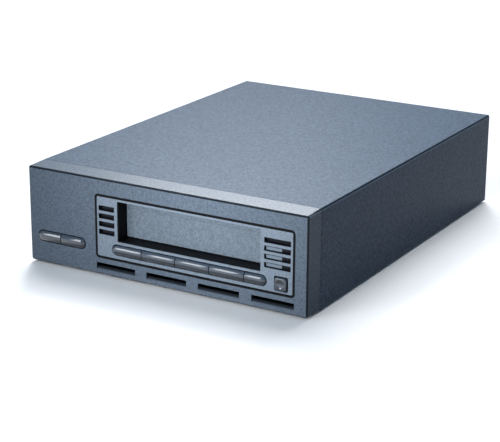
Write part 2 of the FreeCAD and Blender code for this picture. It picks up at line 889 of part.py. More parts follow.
def drive_bezel():
    """Moulded front of the drive with openings for slot, windows, keys and eject button."""
    outer = bevelled_rect(
        bezel_left, bezel_right, bezel_z, bezel_top, bezel_corner, bezel_edge,
        front_y, bezel_back,
    )
    hollow = block(
        bezel_left + bezel_wall, bezel_right - bezel_wall, front_y + bezel_plate, bezel_back + 1,
        bezel_z + bezel_wall, bezel_top - bezel_wall,
    )
    through = (front_y - 1, front_y + bezel_plate + 1)
    tools = [hollow, block(slot_x0, slot_x1, *through, slot_z0, slot_z1)]
    for x, width in window_columns():
        for z in window_rows():
            tools.append(block(x, x + width, *through, z - window_height / 2, z + window_height / 2))
    tools.append(round_rect(*key_bar(), key_bar_height / 2, *through))
    half = eject_size / 2 + eject_gap
    x, z = eject_centre()
    tools.append(round_rect(x - half, x + half, z - half, z + half, eject_corner, *through))
    return without(outer, tools)


def light_shields():
    """Black inserts behind the bezel: a plate with one thin-walled tube through each window."""
    shields = []
    plate_y = front_y + bezel_plate
    plate_back = front_y + window_depth + lens_thickness + shield_overlap
    first, last = window_rows()[0], window_rows()[-1]
    half = window_height / 2 - fit_clearance / 2
    for x, width in window_columns():
        plate = block(
            x - fit_clearance, x + width + fit_clearance, plate_y, plate_back,
            first - window_height / 2 - shield_wall, last + window_height / 2 + shield_wall,
        )
        tubes = []
        holes = []
        for z in window_rows():
            x0, x1 = x + fit_clearance / 2, x + width - fit_clearance / 2
            tubes.append(block(x0, x1, front_y + rim_setback, plate_y, z - half, z + half))
            inner = half - shield_wall
            holes.append(
                block(x0 + shield_wall, x1 - shield_wall, front_y - 1, plate_back + 1, z - inner, z + inner)
            )
        shields.append(without(fused([plate] + tubes), holes))
    return shields


def indicator_places():
    """Low x, high x and z of each dark lens, and of each grey legend tile beside one."""
    inset = fit_clearance / 2 + shield_wall
    (left_x0, left_width), (right_x0, right_width) = window_columns()
    split = right_x0 + legend_width
    right_end = right_x0 + right_width - inset
    lenses = [(left_x0 + inset, left_x0 + left_width - inset, z) for z in window_rows()]
    lenses += [(split, right_end, z) for z in window_rows()[:-1]]
    lenses.append((right_x0 + inset, right_end, window_rows()[-1]))
    tiles = [(right_x0 + inset, split, z) for z in window_rows()[:-1]]
    return lenses, tiles


def indicator_blocks(places):
    half = window_height / 2 - fit_clearance / 2 - shield_wall
    front = front_y + window_depth
    return [block(x0, x1, front, front + lens_thickness, z - half, z + half) for x0, x1, z in places]


def slot_liner():
    """Black throat of the cartridge slot: floor, two side walls, a door stop and the pivot holes."""
    outer = block(
        slot_x0 + fit_clearance, slot_x1 - fit_clearance, front_y + rim_setback, liner_back,
        slot_z0 + fit_clearance, slot_z1 - fit_clearance,
    )
    inner = block(throat_x0, throat_x1, front_y - 1, liner_back + 1, throat_z0, slot_z1 + 1)
    stop = block(
        throat_x0, throat_x1, door_y - door_stop - fit_clearance, door_y - fit_clearance,
        throat_z0, throat_z0 + door_clearance,
    )
    bore = pivot_radius + running_clearance
    pivot = rod(bore, point(slot_x0 - 1, hinge_y, hinge_z), point(slot_x1 + 1, hinge_y, hinge_z))
    return fused([outer.cut(inner), stop]).cut(pivot)


def slot_door():
    """Flap that closes the slot: thin plate on a hinge rod, with a shallow line near its top."""
    x0, x1 = throat_x0 + door_clearance, throat_x1 - door_clearance
    plate = block(x0, x1, door_y, door_y + door_thickness, throat_z0 + 2 * door_clearance, hinge_z)
    reach = liner_wall - fit_clearance
    hinge = rod(
        pivot_radius, point(throat_x0 - reach, hinge_y, hinge_z), point(throat_x1 + reach, hinge_y, hinge_z)
    )
    z = door_top - door_groove_drop
    half = door_groove / 2
    groove = block(x0 - 1, x1 + 1, door_y - 1, door_y + door_groove, z - half, z + half)
    return fused([plate, hinge]).cut(groove)


def eject_button():
    """Square button with rounded edges, a round finger dish and a lip that keeps it in."""
    x, z = eject_centre()
    half = eject_size / 2
    face = front_y - eject_proud
    lip_y = front_y + bezel_plate + fit_clearance
    lip_back = lip_y + key_lip
    cap = crowned_bar(x - half, x + half, z - half, z + half, face, lip_back, eject_corner, eject_edge)
    ball = (eject_dish_radius ** 2 + eject_dish_depth ** 2) / (2 * eject_dish_depth)
    dish = Part.makeSphere(ball, point(x, face + eject_dish_depth - ball, z))
    reach = half + eject_gap + eject_lip
    lip = block(x - reach, x + reach, lip_y, lip_back, z - half, z + reach)
    return stemmed(fused([cap.cut(dish), lip]), lip_back, z)


def front_board():
    """Board behind the bezel's lower edge and both window columns, with switches and lamps."""
    front = bezel_back - board_thickness
    inset = bezel_wall + board_inset
    x0, x1 = bezel_left + inset, bezel_right - inset
    z0, z1 = bezel_z + inset, bezel_top - inset
    pieces = [
        block(x0, x1, front, bezel_back, z0, slot_z0 - board_inset),
        block(x0, slot_x0 - board_inset, front, bezel_back, z0, z1),
        block(slot_x1 + board_inset, x1, front, bezel_back, z0, z1),
    ]
    switch_x = [key.BoundBox.Center.x for key in drive_keys()] + [eject_centre()[0]]
    z = bezel_z + key_bar_bottom + key_bar_height / 2
    half = switch_size / 2
    lip_back = front_y + bezel_plate + fit_clearance + key_lip
    switch_front = lip_back + key_stem + max(key_travel, eject_travel) + key_rest_gap
    pieces += [block(x - half, x + half, switch_front, front, z - half, z + half) for x in switch_x]
    lamp_front = front_y + window_depth + lens_thickness + shield_overlap + board_inset
    half = lamp_size / 2
    for x, width in window_columns():
        x = x + width - lamp_inset - half
        pieces += [block(x - half, x + half, lamp_front, front, z - half, z + half) for z in window_rows()]
    return fused(pieces)


# ---------------------------------------------------------------- drive casting
def reel_centre():
    return drive_x + reel_offset_x, (ear_back + reel_back) / 2


def tape_z():
    return drive_z + tape_middle_z


def roller_centres():
    return [(drive_left + x, front_y + y) for x, y in roller_places]


def roller_levels():
    return tape_z() - reel_inner_width / 2, tape_z() + reel_inner_width / 2


def rack_pitch_x():
    return channel_x + receiver_half + cam_gap + cam_sheet + rack_depth


def gear_centre():
    return rack_pitch_x() + rack_module * pinion_teeth / 2, front_y + gear_y


def gear_levels():
    """Bottom of the rack and pinion, and bottom of the wheel above them."""
    low = drive_z + cam_bottom_z
    return low, low + pinion_width


def load_motor_centre():
    x, y = gear_centre()
    return x, y - drive_module * (wheel_teeth + motor_pinion_teeth) / 2


def load_shelf_z():
    return gear_levels()[1] + wheel_width + shelf_clearance


def guide_post_centres():
    return [(channel_x + receiver_half * x, receiver_back + guide_post_size) for x in guide_post_spread]


def drive_casting():
    """Die-cast drive frame with its walls, roller posts, gear post, guide posts and motor shelf."""
    outer = block(drive_left, drive_right, drive_front, drive_back, drive_z, casting_top)
    wall = casting_wall
    inner = block(
        drive_left + wall, drive_right - wall, drive_front + wall, drive_back - wall,
        floor_top, casting_top + 1,
    )
    under = block(
        drive_left + wall, drive_right - wall, drive_front + wall, drive_back + 1,
        drive_z - 1, drive_z + casting_floor_z,
    )
    mouth = block(slot_x0, slot_x1, drive_front - 1, drive_front + wall + 1, slot_z0, casting_top + 1)
    body = without(outer, [inner, under, mouth])
    low, high = gear_levels()
    x, y = gear_centre()
    additions = [
        square_post(2 * (gear_post_radius + post_shoulder), x, y, floor_top, low - fit_clearance),
        post(gear_post_radius, x, y, floor_top, high + wheel_width + fit_clearance),
    ]
    for x, y in guide_post_centres():
        additions.append(square_post(guide_post_size, x, y, floor_top, throat_z0 + guide_post_size))
    roller_low, roller_high = roller_levels()
    shoulder = 2 * (roller_post_radius + post_shoulder)
    for x, y in roller_centres():
        additions.append(square_post(shoulder, x, y, floor_top, roller_low - fit_clearance))
        additions.append(post(roller_post_radius, x, y, floor_top, roller_high + roller_post_end))
    x, y = load_motor_centre()
    reach = load_motor_radius + fit_clearance
    shelf_z = load_shelf_z()
    wall_x = drive_right - wall
    additions.append(block(x - reach, wall_x, y - reach, y + reach, shelf_z, shelf_z + load_shelf))
    additions.append(block(wall_x - shelf_web, wall_x, y - reach, y + reach, floor_top, shelf_z))
    window = square_post(4 * load_shaft_radius, x, y, shelf_z - 1, shelf_z + load_shelf + 1)
    return fused([body] + additions).cut(window)


def drive_lid():
    """Steel lid of the drive with two stiffening beads."""
    z = casting_top
    lid = block(drive_left, drive_right, drive_front, drive_back, z, z + lid_thickness)
    x0, x1 = drive_left + lid_bead_inset, drive_right - lid_bead_inset
    top = z + lid_thickness + lid_bead_rise
    beads = [
        block(x0, x1, y, y + lid_bead, z, top)
        for y in [drive_front + drive_length * part for part in lid_bead_places]
    ]
    return fused([lid] + beads)


def controller_board():
    """Controller board under the casting, with its chips and the two rear connectors."""
    margin = casting_wall + controller_margin
    z = drive_z + controller_z
    top = z + board_thickness
    board = block(drive_left + margin, drive_right - margin, drive_front + margin, drive_back, z, top)
    chips = []
    for x, y in chip_places:
        x, y = drive_x + x, drive_front + y
        chips.append(block(x, x + chip_size, y, y + chip_size, top, top + chip_height))
    x0 = connector_x - ribbon_width / 2 - plug_margin
    x1 = connector_x + ribbon_width / 2 + plug_margin
    signal = block(x0, x1, drive_back, drive_back + plug_depth, z, z + plug_height)
    x = harness_x()
    half = harness_thickness / 2 + plug_margin
    power = block(x - 2 * half, x + 2 * half, drive_back, drive_back + plug_depth, z, z + plug_height)
    return fused([board, signal, power] + chips)


# ---------------------------------------------------------------- loading mechanism
def cartridge_receiver():
    """Folded sheet tray for the cartridge: floor, sides behind the door, lips, stop, pins and ears."""
    half = receiver_half
    sheet = receiver_sheet
    y0, y1 = liner_back + receiver_gap, receiver_back
    side_y = hinge_y + hinge_z - throat_z0 + door_clearance
    floor_z = throat_z0 - receiver_step
    side_top = slot_z1 - 2 * sheet
    pieces = [block(channel_x - half, channel_x + half, y0, y1, floor_z - sheet, floor_z)]
    for side in (-1, 1):
        x0, x1 = sorted((channel_x + side * half, channel_x + side * (half - sheet)))
        pieces.append(block(x0, x1, side_y, y1, floor_z, side_top))
        x0, x1 = sorted((channel_x + side * half, channel_x + side * (half - receiver_lip)))
        pieces.append(block(x0, x1, y1 - receiver_lip_length, y1, side_top, side_top + sheet))
        pieces += [receiver_pin(side, front_y + y) for y in receiver_pin_y]
    stop_x0, stop_x1 = [channel_x + half * x for x in receiver_stop]
    pieces.append(block(stop_x0, stop_x1, y1 - sheet, y1, floor_z, floor_z + receiver_stop_height))
    ear = receiver_ear
    tools = []
    for x, y in guide_post_centres():
        pieces.append(block(x - ear, x + ear, y1, ear_back, floor_z - sheet, floor_z))
        tools.append(square_post(ear, x, y, floor_z - sheet - 1, floor_z + 1))
    octagon = regular(8, receiver_hub_hole / math.cos(math.pi / 8))
    opening = [(channel_x + a, front_y + hub_y + b, floor_z - sheet - 1) for a, b in octagon]
    tools.append(prism(opening, (0, 0, sheet + 2)))
    return without(fused(pieces), tools)


def receiver_pin(side, y):
    """Eight-sided pin from inside the receiver's side to just past the cam plate."""
    x = channel_x + side * (receiver_half - receiver_sheet / 2)
    z = drive_z + receiver_pin_z
    corners = regular(8, receiver_pin_radius)
    length = receiver_sheet / 2 + cam_gap + cam_sheet + 2 * fit_clearance
    return prism([(x, y + a, z + b) for a, b in corners], (side * length, 0, 0))


def rack_outline(x0, y0, y1):
    """Corners of the rack from its back edge x0, with a tooth space centred on the gear axis."""
    pitch_x = rack_pitch_x()
    circular = math.pi * rack_module
    slope = math.tan(math.radians(pressure_angle))
    tip = tooth_tip * rack_module
    root = tooth_root * rack_module
    half_tooth = (circular / 2 - tooth_backlash) / 2
    centre = gear_centre()[1]
    first = math.ceil((y0 - centre) / circular)
    last = math.floor((y1 - centre) / circular) - 1
    corners = [(x0, y0), (pitch_x - root, y0)]
    for k in range(first, last + 1):
        y = centre + (k + 0.5) * circular
        corners += [
            (pitch_x - root, y - half_tooth - root * slope),
            (pitch_x + tip, y - half_tooth + tip * slope),
            (pitch_x + tip, y + half_tooth - tip * slope),
            (pitch_x - root, y + half_tooth + root * slope),
        ]
    return corners + [(pitch_x - root, y1), (x0, y1)]


def cam_slide():
    """Sliding sheet frame: two cam plates with inclined slots, a bridge, and the rack on the right plate."""
    near = receiver_half + cam_gap
    far = near + cam_sheet
    y0, y1 = front_y + cam_front, front_y + cam_back
    low, high = drive_z + cam_bottom_z, drive_z + cam_top_z
    bridge_y = front_y + cam_bridge_front
    centre = gear_centre()[1]
    rack_y0 = centre - rack_overrun
    rack_y1 = centre + cam_travel + rack_overrun
    rack = [(x, y, low) for x, y in rack_outline(channel_x + far, rack_y0, rack_y1)]
    pieces = [
        block(channel_x + near, channel_x + far, y0, y1, low, high),
        block(channel_x - far, channel_x - near, y0, y1, low, high),
        block(channel_x - far, channel_x + far, bridge_y, bridge_y + cam_bridge_width, low, low + cam_sheet),
        prism(rack, (0, 0, rack_width)),
    ]
    return without(fused(pieces), [cam_slot(front_y + y, far + 1) for y in receiver_pin_y])


def cam_slot(y, reach):
    """Inclined slot through both plates that lowers the receiver's pins as the frame moves forwards."""
    half = receiver_pin_radius + running_clearance
    z = drive_z + receiver_pin_z
    length = math.hypot(cam_travel, receiver_drop)
    along_y, along_z = cam_travel / length, -receiver_drop / length
    x0, x1 = channel_x - reach, channel_x + reach
    outline = [
        (x0, y + u * along_y - v * along_z, z + u * along_z + v * along_y)
        for u, v in ((-half, -half), (length + half, -half), (length + half, half), (-half, half))
    ]
    return prism(outline, (x1 - x0, 0, 0))


def load_gear():
    """Compound gear: a pinion in mesh with the rack, and the wheel that the load motor turns."""
    low, high = gear_levels()
    x, y = gear_centre()
    pinion = gear(rack_module, pinion_teeth, high - low, x, y, low, 180.0)
    wheel = gear(drive_module, wheel_teeth, wheel_width, x, y, high, 270.0 + 180.0 / wheel_teeth)
    bore = post(gear_post_radius + running_clearance, x, y, low - 1, high + wheel_width + 1)
    return fused([pinion, wheel]).cut(bore)


def load_pinion():
    """Pinion and shaft of the load motor."""
    x, y = load_motor_centre()
    low = gear_levels()[1]
    pinion = gear(drive_module, motor_pinion_teeth, wheel_width, x, y, low, 90.0)
    return fused([pinion, post(load_shaft_radius, x, y, low, load_shelf_z() + load_shelf + load_shaft_in)])


def load_motor():
    """Can of the load motor on the casting's shelf, with a bore for its shaft."""
    x, y = load_motor_centre()
    z = load_shelf_z() + load_shelf
    can = post(load_motor_radius, x, y, z, z + load_motor_length)
    bore = load_shaft_radius + running_clearance
    return can.cut(post(bore, x, y, z - 1, z + load_shaft_in + fit_clearance))


# ---------------------------------------------------------------- reels, guides and head
def supply_hub_levels():
    low = floor_top + supply_motor_height + reel_lift
    return low, low + hub_thickness


def reel_levels():
    low, high = roller_levels()
    return low - reel_flange, high + reel_flange


def reel_motors():
    """Square frame of the supply motor and of the take-up motor, each with its spindle."""
    x, y = reel_centre()
    supply_y = front_y + hub_y
    supply_top = floor_top + supply_motor_height
    supply_tip = supply_hub_levels()[1] + hub_coupling_height
    take_up_top = reel_levels()[0] - reel_lift
    return [
        fused([
            square_post(supply_motor_size, channel_x, supply_y, floor_top, supply_top),
            post(spindle_radius, channel_x, supply_y, supply_top, supply_tip),
        ]),
        fused([
            square_post(take_up_motor_size, x, y, floor_top, take_up_top),
            post(spindle_radius, x, y, take_up_top, reel_levels()[1] - reel_flange),
        ]),
    ]


def supply_hub():
    """Drive hub under the cartridge, with a six-sided coupling on its face."""
    x, y = channel_x, front_y + hub_y
    low, high = supply_hub_levels()
    coupling = prism([(x + a, y + b, high) for a, b in regular(6, hub_coupling)], (0, 0, hub_coupling_height))
    bore = post(spindle_radius + running_clearance, x, y, low - 1, high + 2)
    return fused([post(hub_radius, x, y, low, high), coupling]).cut(bore)


def take_up_reel():
    """Take-up reel: a hub between two flanges, with the slot that catches the tape leader."""
    x, y = reel_centre()
    low, high = reel_levels()
    pieces = [
        post(reel_radius, x, y, low, low + reel_flange),
        post(reel_hub_radius, x, y, low + reel_flange, high - reel_flange),
        post(reel_radius, x, y, high - reel_flange, high),
    ]
    catch = block(
        x - reel_radius - 1, x - reel_hub_radius + reel_catch, y - reel_catch / 2, y + reel_catch / 2,
        low + reel_flange, high + 1,
    )
    bore = post(spindle_radius + running_clearance, x, y, low - 1, high + 1)
    return without(fused(pieces), [catch, bore])


def guide_roller(x, y):
    """Tape guide roller on its post."""
    low, high = roller_levels()
    return post(roller_radius, x, y, low, high).cut(
        post(roller_post_radius + running_clearance, x, y, low - 1, high + 1)
    )


def head_centre():
    return drive_left + head_x, front_y + head_y


def head_back():
    """Face of the head frame's spine, behind the carriage."""
    return head_centre()[0] - head_block_x / 2 - head_spine_gap


def head_stepper_top():
    return floor_top + head_frame_wall + stepper_height


def head_frame_top():
    return tape_z() + head_block_z / 2 + head_travel + head_end_room


def screw_centre():
    x, y = head_centre()
    return x + head_screw_offset[0], y + head_screw_offset[1]


def head_frame():
    """C-shaped frame of the head lift: foot, spine with a guide rib, and arm."""
    x, y = head_centre()
    base, wall = floor_top, head_frame_wall
    top = head_frame_top()
    back = head_back()
    half = head_block_y / 2 + head_end_room
    front = x + head_block_x / 2
    rib = head_rib / 2
    return fused([
        block(back - wall, front, y - half, y + half, base, base + wall),
        block(back - wall, back, y - half, y + half, base + wall, top),
        block(back - wall, front, y - half, y + half, top, top + wall),
        block(back, back + head_rib, y - rib, y + rib, base + wall, top),
    ])


def head_stepper():
    """Square stepper motor on the frame's foot, with a bore for the lead screw."""
    x, y = screw_centre()
    base, top = floor_top + head_frame_wall, head_stepper_top()
    can = square_post(stepper_size, x, y, base, top)
    return can.cut(post(head_screw_radius + running_clearance, x, y, base + stepper_bottom, top + 1))


def head_screw():
    """Lead screw of the head carriage."""
    x, y = screw_centre()
    low = floor_top + head_frame_wall + stepper_bottom + screw_end_gap
    return post(head_screw_radius, x, y, low, head_frame_top() - fit_clearance)


def head_carriage():
    """Block that rides on the screw, with a fork round the spine's rib."""
    x, y = head_centre()
    z0, z1 = tape_z() - head_block_z / 2, tape_z() + head_block_z / 2
    half_x, half_y = head_block_x / 2, head_block_y / 2
    body = block(x - half_x, x + half_x, y - half_y, y + half_y, z0, z1)
    fork = head_rib / 2 + fit_clearance
    return without(body, [
        post(head_screw_radius + running_clearance, *screw_centre(), z0 - 1, z1 + 1),
        block(x - half_x - 1, head_back() + head_rib + fit_clearance, y - fork, y + fork, z0 - 1, z1 + 1),
    ])


def tape_head():
    """Read and write head on the carriage's tape side, with a rounded face."""
    x, y = head_centre()
    back = x + head_block_x / 2
    front = back + head_base
    y0, y1 = y - head_face_width / 2, y + head_face_width / 2
    z = tape_z() - head_block_z / 2 + head_face_inset
    outline = Part.Wire([
        line((back, y0, z), (front, y0, z)),
        arc((front, y0, z), (front + head_crown, y, z), (front, y1, z)),
        line((front, y1, z), (back, y1, z)),
        line((back, y1, z), (back, y0, z)),
    ])
    return Part.Face(outline).extrude(point(0, 0, head_block_z - 2 * head_face_inset))


# ---------------------------------------------------------------- inner structure and power supply
def drive_rail(side):
    """L-shaped bracket from the tray up the side of the drive."""
    y0, y1 = drive_front + rail_front, drive_front + rail_front + rail_length
    face = drive_right if side > 0 else drive_left
    leg_x0, leg_x1 = sorted((face, face + side * rail_sheet))
    foot_x0, foot_x1 = sorted((face, face + side * rail_foot))
    return fused([
        block(leg_x0, leg_x1, y0, y1, tray_top, tray_top + rail_height),
        block(foot_x0, foot_x1, y0, y1, tray_top, tray_top + rail_sheet),
    ])


def psu_box():
    y1 = panel_inner_y - psu_rear_gap
    return psu_x0, psu_x1, y1 - psu_length, y1, tray_top, tray_top + psu_height


def harness_x():
    return drive_left + harness_inset


def harness_y():
    return drive_back + plug_depth + harness_lead


def plug_z():
    """Middle of the drive's rear connectors."""
    return drive_z + controller_z + plug_height / 2


def psu_case():
    """Open steel box of the power supply, with an outlet for its cable."""
    x0, x1, y0, y1, z0, z1 = psu_box()
    wall = psu_wall
    inner = block(x0 + wall, x1 - wall, y0 + wall, y1 - wall, z0 + wall, z1 + 1)
    half_y = harness_thickness / 2 + harness_room_y
    half_z = harness_width / 2 + harness_room_z
    y, z = harness_y(), plug_z()
    outlet = block(x1 - wall - 1, x1 + 1, y - half_y, y + half_y, z - half_z, z + half_z)
    return without(block(x0, x1, y0, y1, z0, z1), [inner, outlet])


def psu_board():
    """Power supply board on square feet, with transformer, capacitor, heat sink and outlet header."""
    x0, x1, y0, y1, z0, _ = psu_box()
    floor = z0 + psu_wall
    z = floor + psu_standoff
    top = z + board_thickness
    high = top + psu_part_height
    inset = psu_wall + psu_board_inset
    board = block(x0 + inset, x1 - inset, y0 + inset, y1 - inset, z, top)
    reach = inset + psu_foot
    feet = [
        square_post(psu_foot, x, y, floor, z)
        for x in (x0 + reach, x1 - reach) for y in (y0 + reach, y1 - reach)
    ]
    middle = (x0 + x1) / 2
    core_y, can_y, sink_y = [
        y0 + psu_length * place for place in (transformer_place, capacitor_place, sink_place)
    ]
    core = standing(middle, core_y, transformer_x, transformer_y, top, high)
    can = standing(middle, can_y, capacitor_size, capacitor_size, top, high)
    sink = standing(middle + sink_x, sink_y, sink_thickness, sink_length, top, high)
    fin_x = middle + sink_x + (sink_thickness + fin_length) / 2
    first_fin = sink_y - fin_pitch * (fin_count - 1) / 2
    fins = [
        standing(fin_x, y, fin_length, fin_thickness, top, high)
        for y in rows(fin_count, first_fin, fin_pitch)
    ]
    header = standing(
        x1 - inset - header_gap - header_depth / 2, harness_y(), header_depth, header_size,
        top, plug_z() + harness_width / 2,
    )
    return fused([board, core, can, sink, header] + feet + fins)


def standing(x, y, size_x, size_y, z0, z1):
    """Upright block on a board, centred at x, y."""
    return block(x - size_x / 2, x + size_x / 2, y - size_y / 2, y + size_y / 2, z0, z1)


def power_harness():
    """Flat power cable from the supply's header to the drive's power connector."""
    x1 = psu_box()[1]
    y, z = harness_y(), plug_z()
    path = [
        (x1 - psu_wall - psu_board_inset - header_gap, y, z),
        (harness_x(), y, z),
        (harness_x(), drive_back + plug_depth, z),
    ]
    return flat_cable(path, harness_bend, harness_thickness, (0, 0, harness_width))


# ---------------------------------------------------------------- rear fittings
def fan_frame():
    """Square axial fan housing with a round duct, a motor plate on three arms, and the axle."""
    half = fan_size / 2
    x, z = fan_centre_x, fan_centre_z
    front = panel_inner_y - fan_depth
    body = block(x - half, x + half, front, panel_inner_y, z - half, z + half)
    duct = rod(fan_bore, point(x, front - 1, z), point(x, panel_inner_y + 1, z))
    pieces = [
        body.cut(duct),
        hexagon(fan_hub_radius, x, z, front, front + fan_arm),
        rod(fan_axle_radius, point(x, front + fan_arm, z), point(x, panel_inner_y - 2 * fan_back_gap, z)),
    ]
    half = fan_arm_width / 2
    x0, x1 = x + fan_hub_radius / 2, x + fan_bore + half / 2
    for k in range(fan_arms):
        arm = block(x0, x1, front, front + fan_arm, z - half, z + half)
        arm.rotate(point(x, 0, z), point(0, 1, 0), 360.0 / fan_arms * k + fan_arm_angle)
        pieces.append(arm)
    return fused(pieces)


def fan_rotor():
    """Fan hub with its pitched blades."""
    x, z = fan_centre_x, fan_centre_z
    front = panel_inner_y - fan_depth + fan_arm + fan_run_gap
    back = panel_inner_y - fan_back_gap
    pieces = [rod(fan_hub_radius, point(x, front, z), point(x, back, z))]
    chord = (back - front - fan_blade) / math.sin(math.radians(fan_pitch))
    for k in range(fan_blades):
        blade = block(fan_hub_radius - 1, fan_tip, -chord / 2, chord / 2, -fan_blade / 2, fan_blade / 2)
        blade.rotate(point(0, 0, 0), point(1, 0, 0), 90.0 - fan_pitch)
        blade.rotate(point(0, 0, 0), point(0, 1, 0), 360.0 / fan_blades * k)
        blade.translate(point(x, (front + back) / 2, z))
        pieces.append(blade)
    bore_end = point(x, back - fan_back_gap / 2, z)
    bore = rod(fan_axle_radius + running_clearance, point(x, front - 1, z), bore_end)
    return fused(pieces).cut(bore)


def ac_inlet():
    """Appliance inlet: flange outside the panel, body through it and the plug's cavity."""
    x, z = services_x, inlet_centre_z
    mouth = panel_y + inlet_flange
    flange = round_rect(
        x - inlet_flange_x / 2, x + inlet_flange_x / 2, z - inlet_flange_z / 2, z + inlet_flange_z / 2,
        inlet_flange_corner, panel_y, mouth,
    )
    body = block(
        x - inlet_body_x / 2, x + inlet_body_x / 2, mouth - inlet_body_depth, panel_y,
        z - inlet_body_z / 2, z + inlet_body_z / 2,
    )
    half_x, half_z, cut = inlet_cavity_x / 2, inlet_cavity_z / 2, inlet_cavity_chamfer
    outline = [
        (x - half_x, mouth + 1, z - half_z),
        (x + half_x, mouth + 1, z - half_z),
        (x + half_x, mouth + 1, z + half_z - cut),
        (x + half_x - cut, mouth + 1, z + half_z),
        (x - half_x + cut, mouth + 1, z + half_z),
        (x - half_x, mouth + 1, z + half_z - cut),
    ]
    return fused([flange, body]).cut(prism(outline, (0, -inlet_cavity_depth - 1, 0)))


def inlet_pins():
    """Three blades of the inlet."""
    x, z = services_x, inlet_centre_z
    floor = panel_y + inlet_flange - inlet_cavity_depth
    tip = panel_y + inlet_flange - inlet_pin_recess
    half_x, half_z = inlet_pin_x / 2, inlet_pin_z / 2
    centres = [
        (x - inlet_pin_pitch, z - inlet_pin_drop),
        (x + inlet_pin_pitch, z - inlet_pin_drop),
        (x, z + inlet_pin_drop),
    ]
    return [block(a - half_x, a + half_x, floor, tip, b - half_z, b + half_z) for a, b in centres]


def rocker_centre():
    return services_x, panel_y - rocker_sink, rocker_centre_z


def rocker_frame():
    """Housing of the power switch: rim outside the panel, pocket and axle."""
    x, y, z = rocker_centre()
    rim = block(
        x - rocker_rim_x / 2, x + rocker_rim_x / 2, panel_y, panel_y + rocker_rim,
        z - rocker_rim_z / 2, z + rocker_rim_z / 2,
    )
    body = block(
        x - rocker_body_x / 2, x + rocker_body_x / 2, panel_y - rocker_depth, panel_y,
        z - rocker_body_z / 2, z + rocker_body_z / 2,
    )
    half_x = rocker_radius + rocker_end_room
    half_z = rocker_height / 2 + rocker_room
    pocket = block(
        x - half_x, x + half_x, panel_y - rocker_depth + rocker_floor, panel_y + rocker_rim + 1,
        z - half_z, z + half_z,
    )
    axle = post(rocker_axle, x, y, z - half_z, z + half_z)
    return fused([fused([rim, body]).cut(pocket), axle])


def rocker():
    """Rocker of the power switch, at rest tipped to its off side."""
    x, y, z = rocker_centre()
    radius, half = rocker_radius, rocker_height / 2
    face = y + rocker_face
    keep = [
        (x - radius, face, z - half),
        (x, face - rocker_dish, z - half),
        (x + radius, face, z - half),
        (x + radius / 2, y - rocker_heel, z - half),
        (x - radius / 2, y - rocker_heel, z - half),
    ]
    bore = post(rocker_axle + running_clearance, x, y, z - half - 1, z + half + 1)
    body = prism(keep, (0, 0, 2 * half)).cut(bore)
    body.rotate(point(x, y, z), point(0, 0, 1), -rocker_tilt)
    return body


def signal_connector(z):
    """Shielded socket on the interface board, its mouth through the rear panel."""
    x = connector_x
    board_y = panel_inner_y - interface_depth
    mouth_y = panel_y + connector_proud
    half_x, half_z = connector_shell_x / 2, connector_shell_z / 2
    shell = block(x - half_x, x + half_x, board_y, mouth_y, z - half_z, z + half_z)
    ear = jack_pitch / 2 + connector_ear
    flange = block(x - ear, x + ear, panel_inner_y - connector_flange, panel_inner_y, z - half_z, z + half_z)
    w, h = connector_mouth_x / 2, connector_mouth_z / 2
    outline = [
        (x - w, mouth_y + 1, z + h),
        (x + w, mouth_y + 1, z + h),
        (x + w - connector_key, mouth_y + 1, z - h),
        (x - w + connector_key, mouth_y + 1, z - h),
    ]
    mouth = prism(outline, (0, -connector_mouth_depth - 1, 0))
    tongue_x, tongue_z = connector_tongue_x / 2, connector_tongue_z / 2
    tongue = block(
        x - tongue_x, x + tongue_x, mouth_y - connector_mouth_depth, mouth_y - connector_tongue_sink,
        z - tongue_z, z + tongue_z,
    )
    return fused([fused([shell, flange]).cut(mouth), tongue])


def jack_screws():
    """Hexagonal jack posts beside each connector, seated on its flange through the panel."""
    end = panel_y + jack_proud
    return [hexagon(jack_radius, x, z, panel_inner_y, end) for x in jack_x() for z in connector_z]


def interface_board():
    """Upright board that carries the connectors, the unit switch and the ribbon header."""
    back = panel_inner_y - interface_depth
    low, high = connector_z[0] - interface_margin, connector_z[1] + interface_margin
    x0 = connector_x - jack_pitch / 2 - connector_ear
    x1 = id_centre_x + id_body_x / 2 + interface_end
    board = block(x0, x1, back - board_thickness, back, low, high)
    half = ribbon_width / 2 + plug_margin
    z = ribbon_end_z()
    header = block(
        connector_x - half, connector_x + half, back - board_thickness - plug_depth, back - board_thickness,
        z - plug_margin, z + plug_margin,
    )
    return fused([board, header])


def ribbon_end_z():
    return (connector_z[0] + connector_z[1]) / 2


def ribbon_cable():
    """Flat cable from the drive's rear connector to the interface board."""
    start_y = drive_back + plug_depth
    end_y = panel_inner_y - interface_depth - board_thickness - plug_depth
    middle = (start_y + end_y) / 2
    path = [
        (connector_x, start_y, plug_z()),
        (connector_x, middle - ribbon_slack, plug_z()),
        (connector_x, middle + ribbon_slack, ribbon_end_z()),
        (connector_x, end_y, ribbon_end_z()),
    ]
    return flat_cable(path, ribbon_bend, ribbon_thickness, (ribbon_width, 0, 0))


def id_axle_y():
    return panel_y + id_proud - id_wheel_sink - id_wheel_radius


def id_switch():
    """Unit-number switch: body through the panel, display window, axle and two button wells."""
    x, z = id_centre_x, id_centre_z
    face = panel_y + id_proud
    back = panel_inner_y - interface_depth
    body = block(x - id_body_x / 2, x + id_body_x / 2, back, face, z - id_body_z / 2, z + id_body_z / 2)
    room = id_wheel_radius + id_room
    half = id_wheel_width / 2 + id_room
    tools = [block(x - half, x + half, id_axle_y() - room, face + 1, z - room, z + room)]
    reach = id_button / 2 + id_room / 2
    for side in (-1, 1):
        b = z + side * id_button_offset
        tools.append(block(x - reach, x + reach, face - id_well, face + 1, b - reach, b + reach))
    axle = rod(id_axle_radius, point(x - half, id_axle_y(), z), point(x + half, id_axle_y(), z))
    return fused([without(body, tools), axle])


